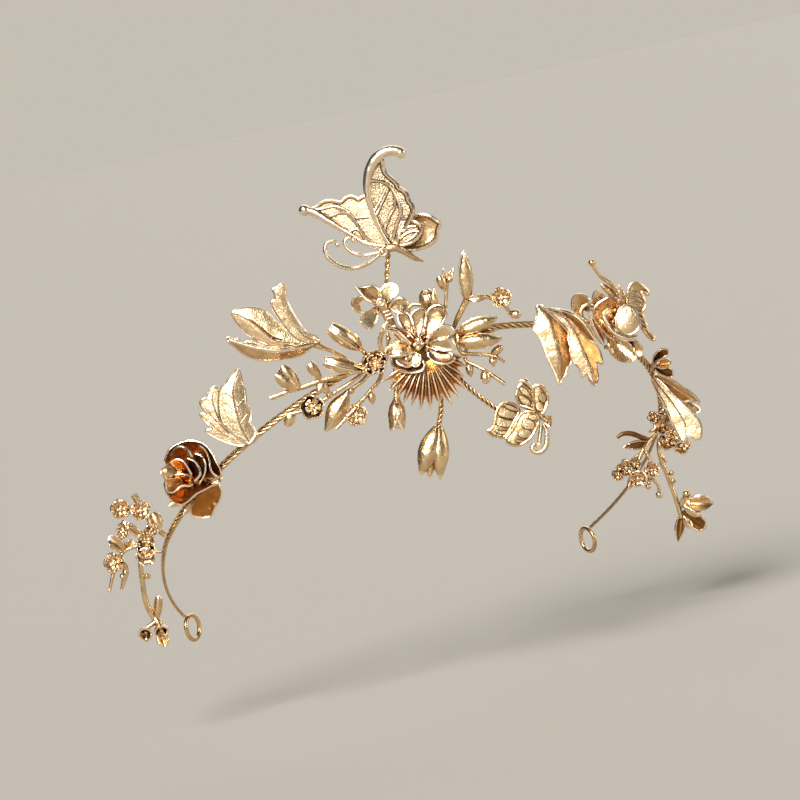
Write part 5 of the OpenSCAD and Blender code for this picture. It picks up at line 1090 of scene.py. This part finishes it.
parts = [
    wire([(3.3, 0.4, -4), (4.4, 4, -1.6), (5, 8.6, 0.6), (3.6, 11.4, 1.2), (1.5, 14.4, 1.8),
        (-1.5, 16.6, 2.2), (-3, 18.6, 2.4), (-3.8, 20.2, 2.4)],
        [0.55, 0.55, 0.7, 0.75, 0.8, 0.65, 0.55, 0.7]),
    bead((-4, 20.5, 2.4), 2.1), petal((4.8, 8.8, 0.8), (-1.6, 14.8, 1.2), 2.2, -0.5, 0.3, STRAP, 0.6),
    petal((5, 9, 0.8), (3.5, 14.4, 2), 1.9, 0.5, 0.3, OVAL, 0.6)]
assemble("twig_right_top", parts, seat(42))

# The rosette in front of the band is three blossoms, one over another, the two lower ones and the
# stem painted in orange shade
parts = []
layers = ((5.3, 7, orange_shade_gold, 0), (5.9, 5.2, orange_shade_gold, 36), (6.5, 3.4, satin_gold, 10))
for out, width, finish, turn in layers:
    parts += blossom((-12.6, -6, out), width, (-0.25, 0.3, 1), turn, finish)
parts.append(wire([(-12.6, -6, 6.3), (-11.9, -4.5, 3.8)], 0.7, orange_shade_gold))
assemble("small_rosette", parts, seat(HUB))

# Small butterflies: cast with thick raised rims round sunk wing cells. The left one sits on a stem
# wound from three wires, the one at the right is seen from its side.


def cells(outline, depth, panels, finish, rim=0.5, bars=()):
    """Wing with a thick rim, its cells raised as grainy panels ringed with painted brown shade."""
    made = [plate(outline, depth, satin_gold, 0.6, 0.8)]
    made.append(ridge(rounded(outline), depth, rim, satin_gold, 0, True))
    for panel in panels:
        middle = sum((Vector(p) for p in panel), Vector((0, 0))) / len(panel)
        panel = [middle + (Vector(p) - middle) * 1.14 for p in panel]
        made.append(plate(panel, lambda x, y: depth(x, y) + 0.14, finish, 0.3, 0.8, 1))
        # A thin brown ring round each panel: painted shade in the line round it
        made.append(ridge(rounded(panel, 1), depth, 0.16, brown_shade_gold, 0.06, True))
    return made + [ridge(line, depth, 0.3, bright_gold, 0.12) for line in bars]


# How far each wing stands out, at a place on it
low_left = lambda x, y: 0.3 - 0.018 * (x - 22) ** 2 + 0.05 * (26 - x)
front = lambda x, y: 1.7 - 0.045 * (0.8 * (x - 27.6) - 0.6 * (y + 23.4)) ** 2
up_left = lambda x, y: 0.1 + 0.05 * (y + 18)
up_right = lambda x, y: 1.2 - 0.08 * (x - 31.5) ** 2
parts = cells([(26.4, -18.6), (25.1, -17.1), (23.4, -16.5), (22.1, -16.6), (21, -17.2), (20.2, -18.6),
    (19.8, -20), (19.7, -21.3), (19.3, -22.9), (18.7, -23.8), (17.5, -24.3), (18.2, -25.1), (19.3, -25.7),
    (20.9, -26), (22, -26.2), (23.4, -24.6), (24.5, -22.4), (25.9, -20)], low_left,
    [[(22.4, -17.2), (23.2, -17.2), (25.6, -18.2), (26.2, -18.8), (25.6, -19), (23.8, -18.6), (22.6, -18)],
    [(20.8, -18.8), (21.6, -17.8), (23.4, -18.8), (25, -19.3), (24.7, -20.8), (22.6, -20.6), (20.6, -20)],
    [(20.4, -20.6), (22.6, -21.4), (24.4, -21.6), (23.8, -23.4), (21.4, -23), (20, -22.6)],
    [(19.6, -24), (21.4, -24.3), (22.8, -24.2), (22, -25.2), (20.2, -24.9)]], leaf_gold, 0.4)
parts += cells([(31.6, -21.4), (30.8, -19.7), (29.1, -19.1), (27.5, -19.2), (26.3, -20.3), (25.5, -21.9),
    (24.8, -23.5), (23.7, -25.1), (22.4, -26.4), (23.1, -27.6), (23.9, -28), (25, -28.3), (26.6, -28.1),
    (28.3, -27.1), (29.6, -25.8), (30.5, -24.1), (31.3, -22.5)], front,
    [[(28.8, -20.2), (30, -19.9), (31, -20.3), (31.2, -21), (30, -21.4), (28.9, -21.1)],
    [(27, -22.3), (27.4, -21.3), (28.4, -21.2), (29.9, -21.9), (30.2, -22.6), (29.6, -23.6), (28.4, -23.8),
        (27.2, -23.2)],
    [(26, -24.8), (26.4, -23.9), (27.4, -23.8), (29, -24.3), (29.4, -25), (28.6, -26), (27, -26.2),
        (26, -25.5)], [(25.2, -26.4), (26.6, -26.9), (28, -26.8), (27.4, -27.5), (25.4, -27.4)]], leaf_gold,
    0.42)
parts += cells([(29.7, -18.1), (28.3, -17.9), (27, -17.3), (25.9, -16.5), (25.5, -15.4), (25.5, -14),
    (25.9, -12.7), (26.4, -11.8), (27, -11.6), (27.8, -12.1), (29.2, -13.5), (30, -14.9), (30, -16.5)],
    up_left, [[(26.4, -13.4), (27.1, -12.3), (28.8, -13.8), (29.4, -15.2), (27.8, -14.6)],
    [(26, -14.6), (27.2, -14.9), (29, -16), (29.2, -17.4), (27, -16.8)]], leaf_gold, 0.42)
parts += cells([(30.2, -18.7), (30.2, -16.8), (30, -14.9), (30, -13.2), (30.2, -12.1), (31.3, -11.9),
    (32.4, -12.1), (33.2, -13.2), (33.9, -14.6), (34.1, -16), (33.7, -17.3), (33.2, -18.7), (32.4, -19.8),
    (31.3, -19.7)], up_right,
    [[(31.4, -15.4), (32, -14), (33.3, -14.6), (33.4, -15.8), (32.8, -16.8)],
    [(30.7, -18.2), (30.9, -16.6), (31.8, -16.4), (32.8, -17.4), (32.1, -19)]], leaf_gold, 0.46)
parts += [
    wire([(26.4, -10.8, 0), (27.2, -10.6, 0), (28.2, -11, 0), (29.2, -12, 0), (30, -13.2, 0.2)],
        [0.7, 0.8, 0.7, 0.5], bright_gold),
    wire([(26.6, -17.4, 0.2), (29.6, -18.4, 0.6), (32, -20.2, 0.8), (33.6, -21.4, 0.8)],
        [0.5, 0.7, 0.8, 0.8]),
    # Ribbed head, the curled feeler and the straight one, and the stem
    petal((33, -21.9, 0.8), (35.2, -21.4, 1.1), 3.8, 0.4, 0.2, ROUND, 0.6)]
# Brown lines across the head: painted shade in its ribbing
for k in range(4):
    parts.append(wire([(33.3, -22 + 0.1 * k, 1.3), (34.9, -22.9 + 0.9 * k, 1.5)], 0.2, brown_shade_gold))
parts += [
    wire([(32.8, -22.6, 0.8), (33.6, -24.4, 0.8), (33.7, -26.4, 0.8), (33.5, -28.4, 0.8),
        (32.6, -29.7, 0.8), (31.2, -30.2, 0.8), (30, -29.8, 0.8), (29.6, -28.8, 0.8), (30, -28, 0.8),
        (30.9, -28, 0.8), (31.2, -28.7, 0.8)], [0.5, 0.6, 0.65, 0.7, 0.7, 0.65, 0.6, 0.5], leaf_gold),
    wire([(32.2, -22.8, 0.6), (31.9, -25.2, 0.6), (31.7, -26.8, 0.6), (31.6, -28.2, 0.7)], [0.5, 0.55, 0.5],
        leaf_gold),
    rope([(6.5, 0.2, -2.2), (7.4, -3, -1.4), (10.5, -10.5, -0.6), (20.5, -18.5, -0.8), (25, -19.8, -0.8)])]
assemble("small_butterfly", parts, seat(HUB))

side_up = lambda x, y: 1.6 - 0.1 * (x - 5) - 0.03 * (x - 8) ** 2
side_low = lambda x, y: 0.9 - 0.12 * (x - 8)
parts = cells([(5.9, 7.8), (5.9, 10.8), (6.2, 13), (6.7, 14.4), (7.7, 15), (9.1, 14.8), (10.5, 13.8),
    (11.7, 12.7), (12, 11.7), (11.5, 11.5), (10.9, 12.2), (10.1, 12.6), (9.9, 11.8), (10.5, 10.4),
    (11, 9.2), (10.9, 8.1), (10.3, 7), (9.5, 6.6), (8.3, 7), (6.9, 7.6)], side_up, (), sand_gold, 0.42,
    [[(6.4, 12.4), (8, 12.2), (9.8, 11)], [(6.2, 10.8), (8, 10.8), (10.2, 9.6)],
    [(6.2, 9.4), (8, 9.4), (10.4, 8.2)]])
parts += cells([(8.4, 6.6), (10.1, 6.2), (10.7, 4.4), (11.4, 2.4), (11.8, 0.9), (13, 0.1), (13.7, -0.9),
    (13.1, -1.3), (11.8, -0.3), (10.7, 1.2), (9.5, 2.8), (8.7, 4.4)], side_low, (), sand_gold, 0.42,
    [[(9, 5.4), (10.4, 4.8)], [(9.4, 4), (10.9, 3.2)], [(10.2, 2.4), (11.4, 1.6)]])
parts += [
    wire([(7.4, -1.6, -8.8), (7.6, 0.4, -5), (7.8, 3, -2), (8, 6.6, 0.4)], [0.55, 0.55, 0.7, 0.8]),
    wire([(6.8, 8.2, 1), (8.4, 5.8, 0.8)], [0.6, 0.8])]
assemble("butterfly_right", parts, seat(42))

# Clusters at the sides and the sprigs that hang from them: blossoms, rods, cups and beads cast in
# one, each with one stem at the band.
parts = [
    wire([(-0.9, 0.5, 1.4), (-3.4, 3, 2.5), (-6, 6, 3), (-13, 8, 3.4)], [0.8, 1, 0.9, 0.5]),
    petal((-4.4, 6.8, 2.8), (-1.9, 1.8, 3.2), 4.2, 1.1, 0.5, STRAP, finish=small_gold),
    wire([(-5.4, 5.4, 2.9), (-9.4, 12, 3.4)], [0.8, 1]),
    wire([(-3.4, 2.4, 2.4), (-7.5, 1.4, 2.6), (-12.8, 4.5, 3)], [0.6, 0.65, 0.7]),
    wire([(-11.6, 2.2, 2.6), (-9, 2, 2.6)], 0.5),
    # A thick stem painted in brown shade
    wire([(-6, 2, 2.6), (-6, -1, 2.8), (-6, -6.1, 3)], [0.8, 1.3, 1.2], brown_shade_gold),
    wire([(-7, -2, 2.8), (-11.8, -3.6, 2.6), (-14.8, -7.4, 2.4)], 0.5),
    petal((-11.8, -3.8, 2.6), (-16.4, 0.4, 3.2), 4, 1.2, 0.5, finish=small_gold),
    petal((-7.4, 0.4, 3.4), (-12.2, 4.6, 3.8), 2.2, 0.8, 0.4, STRAP, 0.6, small_gold),
    # A petal painted in orange shade
    petal((-11.4, -3.4, 2.4), (-9.6, -0.4, 2.8), 2.4, 0.4, 0.2, finish=orange_shade_gold),
    wire([(-13.4, -6, 2.4), (-11.8, -9, 2.4), (-13, -14.6, 2.4)], [0.7, 0.9, 0.4]),
    wire([(-14.8, -7.6, 2.4), (-16.4, -15.2, 2.4)], [0.6, 0.4]), bead((-12.2, -8.2, 3), 1.8),
    bead((-12.6, -10.8, 3), 1.8)]
bunch = [((-13, 8, 3.8), 4.6, (0, 0, 1), 0), ((-7.6, 7.4, 4.2), 4.8, (0.2, 0.2, 1), 0),
         ((-12, 2, 3), 3.6, (-0.4, 0, 1), 20), ((-6, -1.2, 3.8), 4.4, (0, 0.3, 1), 30),
         ((-6, -3.2, 4), 4.4, (0, 0, 1), 60), ((-6, -5, 3.8), 4.6, (0, -0.3, 1), 0),
         ((-14.8, -7, 2.8), 4.8, (-0.2, 0, 1), 10), ((-4.4, 2.2, 3), 3.2, (0, 0, 1), 20)]
for place, width, face, turn in bunch:
    parts += blossom(place, width * 1.15, face, turn)
assemble("blossom_cluster_left", parts, seat(-82))

parts = [
    wire([(-0.1, 6.9, 7.4), (-4.4, 7, 6.4), (-6, 4, 5.6), (-5.5, -2.5, 4.4), (-4.5, -8, 3.6),
        (-2.5, -12, 3)], [0.5, 0.6, 0.7, 0.75, 0.8, 0.9]),
    bead((-4.2, 0, 4.8), 1.9), wire([(-5.4, 0, 4.8), (-4.2, 0, 4.8)], 0.6),
    *split_bud((-1.6, -12, 3.2), (-1, -5.6, 3.6), [0.4, 1, 1.1, 0.9], 0),
    wire([(-2.5, -11.6, 3), (-1.2, -13.4, 3.2), (-0.4, -15, 3.2)], [0.8, 1.2, 0.8]),
    husk((-0.6, -14.6, 1.8), (-0.2, -16, 4.8), [0.7, 1.6, 1.9, 1.9], 0, 200, 0.7, 1, (0, 1, 0), small_gold),
    husk((-0.6, -14.6, 1.8), (-0.4, -16.2, 4.4), [0.7, 1.6, 1.9, 1.8], 190, 370, 0.7, 1, (0, 1, 0),
        small_gold),
    bead((-0.5, -15.4, 3), 1.6, small_gold), wire([(-2.2, -13, 3.2), (-4.6, -14.8, 3.4)], [0.7, 0.6]),
    husk((-4.8, -15.8, 2), (-4.9, -16.6, 4.8), [0.7, 1.5, 1.8, 1.8], 0, 200, 0.7, 1, (0, 1, 0), small_gold),
    husk((-4.8, -15.8, 2), (-4.9, -16.8, 4.4), [0.7, 1.5, 1.8, 1.7], 190, 370, 0.7, 1, (0, 1, 0),
        small_gold),
    bead((-4.8, -16, 3), 1.4, small_gold), bead((-4.6, -18, 3.4), 1.4, small_gold),
    # The petal below is painted in orange shade
    petal((-1, -15.4, 3), (0.7, -20.1, 3.6), 3.4, 1.1, -0.5, ROUND, 0.75, orange_shade_gold)]
assemble("sprig_left_hanging", parts, seat(-97))

parts = [
    wire([(-0.2, -0.2, 2), (0.8, -2.6, 2.2), (2.6, -6, 2.4), (5.8, -9.4, 2.2)], [0.7, 0.9, 1, 0.7]),
    wire([(1.6, -8.2, 2.6), (2.4, -5.8, 2.4)], 0.6),
    wire([(-2.4, -1.2, 2), (0.6, -2.4, 2.2), (1.2, -0.3, 2.2)], 0.5),
    seed((0, -4, 2.4), (-3.6, -5.5, 2.6), 1.6)]
bunch = [((0.6, -3.6, 2.9), 4.8, 0), ((4, -5.6, 3.4), 5.4, 25), ((1.6, -8, 3.2), 4.8, 10),
         ((5.8, -9.4, 2.9), 4.4, 40), ((-2.3, -1.2, 2.6), 2.8, 15), ((1.2, -0.4, 2.5), 2.8, 30)]
for place, width, turn in bunch:
    parts += blossom(place, width * 1.2, (0.15, 0.1, 1), turn)
assemble("blossom_cluster_right", parts, seat(83))

parts = [
    wire([(-1, -6, -6.8), (-3, -8, -4.6), (-4.6, -10.4, -3), (-6, -13.4, -2), (-7, -17, -1.4)],
        [0.55, 0.8, 0.7, 0.6, 0.5]),
    # This stem and the curved leaf below are painted in brown shade
    wire([(-2.8, -7.8, -4.8), (-5.4, -7, -4), (-8, -6, -3.7), (-10.6, -6, -3.6), (-12.4, -7.1, -3.4)],
        [0.6, 0.8, 0.8, 0.7, 0.5], brown_shade_gold),
    petal((-3.4, -8.8, -4.4), (-11, -10, -3.4), 2.8, 0.7, 0.3, OVAL, 0.6, brown_shade_gold),
    wire([(-5, -11.4, -2.8), (-8.6, -14.2, -2), (-10.4, -16.2, -1.6)], [0.6, 0.5, 0.5]),
    wire([(-10.4, -16.2, -1.8), (-12, -17.8, -1.8)], 0.5),
    wire([(-4.6, -10.4, -3), (-2.8, -14, -2.4), (-3, -18.4, -2), (-3.4, -21.4, -1.8)],
        [0.6, 0.6, 0.5, 0.5]),
    petal((-7, -17, -1.4), (-9.6, -22.6, -1), 2.4, -0.6, 0.3, OVAL, 0.6, small_gold),
    wire([(-7, -17, -1.4), (-8, -19, -1.5)], 0.5), bead((-3.5, -21.5, -1.6), 1.7),
    wire([(-3, -18.4, -2), (-0.6, -21, -2), (-0.2, -23.4, -2)], 0.5), bead((-0.2, -23.9, -2), 2.1)]
bunch = [((-10, -16, -1.1), 5, (0, 0, 1)), ((-12, -17.8, -1.4), 3.8, (-0.3, 0, 1)),
         ((-6.6, -19, -0.8), 5, (0, -0.2, 1)), ((-2.6, -16.6, -1.6), 4.4, (0.2, 0, 1)),
         ((-7.4, -15, -1), 3.6, (0, 0.2, 1))]
for place, width, face in bunch:
    parts += blossom(place, width, face)
assemble("sprig_right_hanging", parts, seat(83))

# Floor, light and camera. The headband is held up as it is worn, over a plain pale floor, in the
# light of a large soft box at the upper left, a weak one beside the camera, one at the right and
# one behind.
FLOOR_SIZE, FLOOR_Z = 40, -0.1
bpy.ops.mesh.primitive_plane_add(size=FLOOR_SIZE, location=(0, 0, FLOOR_Z))
floor = bpy.context.object
floor.name = "studio_floor"
# Matte paper, without any shine of its own
paper = bpy.data.materials.new("pale_paper")
paper.use_nodes = True
matte = paper.node_tree.nodes["Principled BSDF"]
matte.inputs["Base Color"].default_value = linear("A9A49C")
matte.inputs["Roughness"].default_value = 0.9
floor.data.materials.append(paper)


def soft_sun(name, place, strength, spread, tint):
    """Even light from a direction, soft as a large box: spread is its width in degrees."""
    bpy.ops.object.light_add(type="SUN", location=place)
    lamp = bpy.context.object
    lamp.name = name
    lamp.data.energy = strength
    lamp.data.angle = math.radians(spread)
    lamp.data.color = tint
    lamp.rotation_euler = Vector(place).to_track_quat("Z", "Y").to_euler()


soft_sun("key_box", (-0.75, -0.9, 0.9), 5, 26, (1, 0.97, 0.93))
soft_sun("front_box", (-0.42, -0.8, 0.36), 0.4, 40, (1, 0.98, 0.95))
soft_sun("right_box", (1.2, -0.8, 0.35), 0.7, 30, (1, 0.96, 0.9))
soft_sun("back_box", (0.8, 1, 0.9), 1.3, 70, (1, 0.98, 0.95))

# A dim room for the gold to mirror, seen by the camera as pale as the floor in the light
studio = bpy.data.worlds.new("studio")
bpy.context.scene.world = studio
studio.use_nodes = True
tree = studio.node_tree
room = tree.nodes["Background"]
room.inputs["Color"].default_value = linear("C9C6C2")
room.inputs["Strength"].default_value = 0.08
seen = node(tree, "ShaderNodeBackground", {}, {"Color": linear("C6BFB3"), "Strength": 1})
eye = node(tree, "ShaderNodeLightPath", {}, {})
mix = node(tree, "ShaderNodeMixShader", {},
    {"Fac": eye.outputs["Is Camera Ray"], 1: room.outputs[0], 2: seen.outputs[0]})
tree.links.new(mix.outputs[0], tree.nodes["World Output"].inputs["Surface"])
bpy.context.scene.view_settings.view_transform = "Standard"

# The photograph's view: 18 degrees to the left, 5 degrees above, from 1 m away, the camera rolled by
# 12.3 degrees. It shows a millimetre as 3.667 of its 800 pixels and looks past the middle of the band.
VIEW_LEFT, VIEW_ABOVE, VIEW_ROLL, VIEW_FROM = -18, 5, -12.3, 1.0
SENSOR_MM, PHOTO_PIXELS, PIXELS_PER_MM = 36, 800, 3.667
AIM_ACROSS, AIM_UP = -12, -17.5
bpy.ops.object.camera_add()
camera = bpy.context.object
bpy.context.scene.camera = camera
az, el, roll = (math.radians(a) for a in (VIEW_LEFT, VIEW_ABOVE, VIEW_ROLL))
back = Vector((math.sin(az) * math.cos(el), -math.cos(az) * math.cos(el), math.sin(el)))
right = Vector((0, 0, 1)).cross(back).normalized()
up = back.cross(right)
across = right * math.cos(roll) + up * math.sin(roll)
upright = up * math.cos(roll) - right * math.sin(roll)
aim = (across * AIM_ACROSS + upright * AIM_UP) * MM
facing = Matrix((across, upright, back)).transposed().to_4x4()
camera.matrix_world = Matrix.Translation(aim + back * VIEW_FROM) @ facing
camera.data.sensor_width = SENSOR_MM
camera.data.lens = SENSOR_MM * PIXELS_PER_MM / PHOTO_PIXELS * VIEW_FROM / MM
camera.data.clip_start = 0.01
camera.data.clip_end = 50
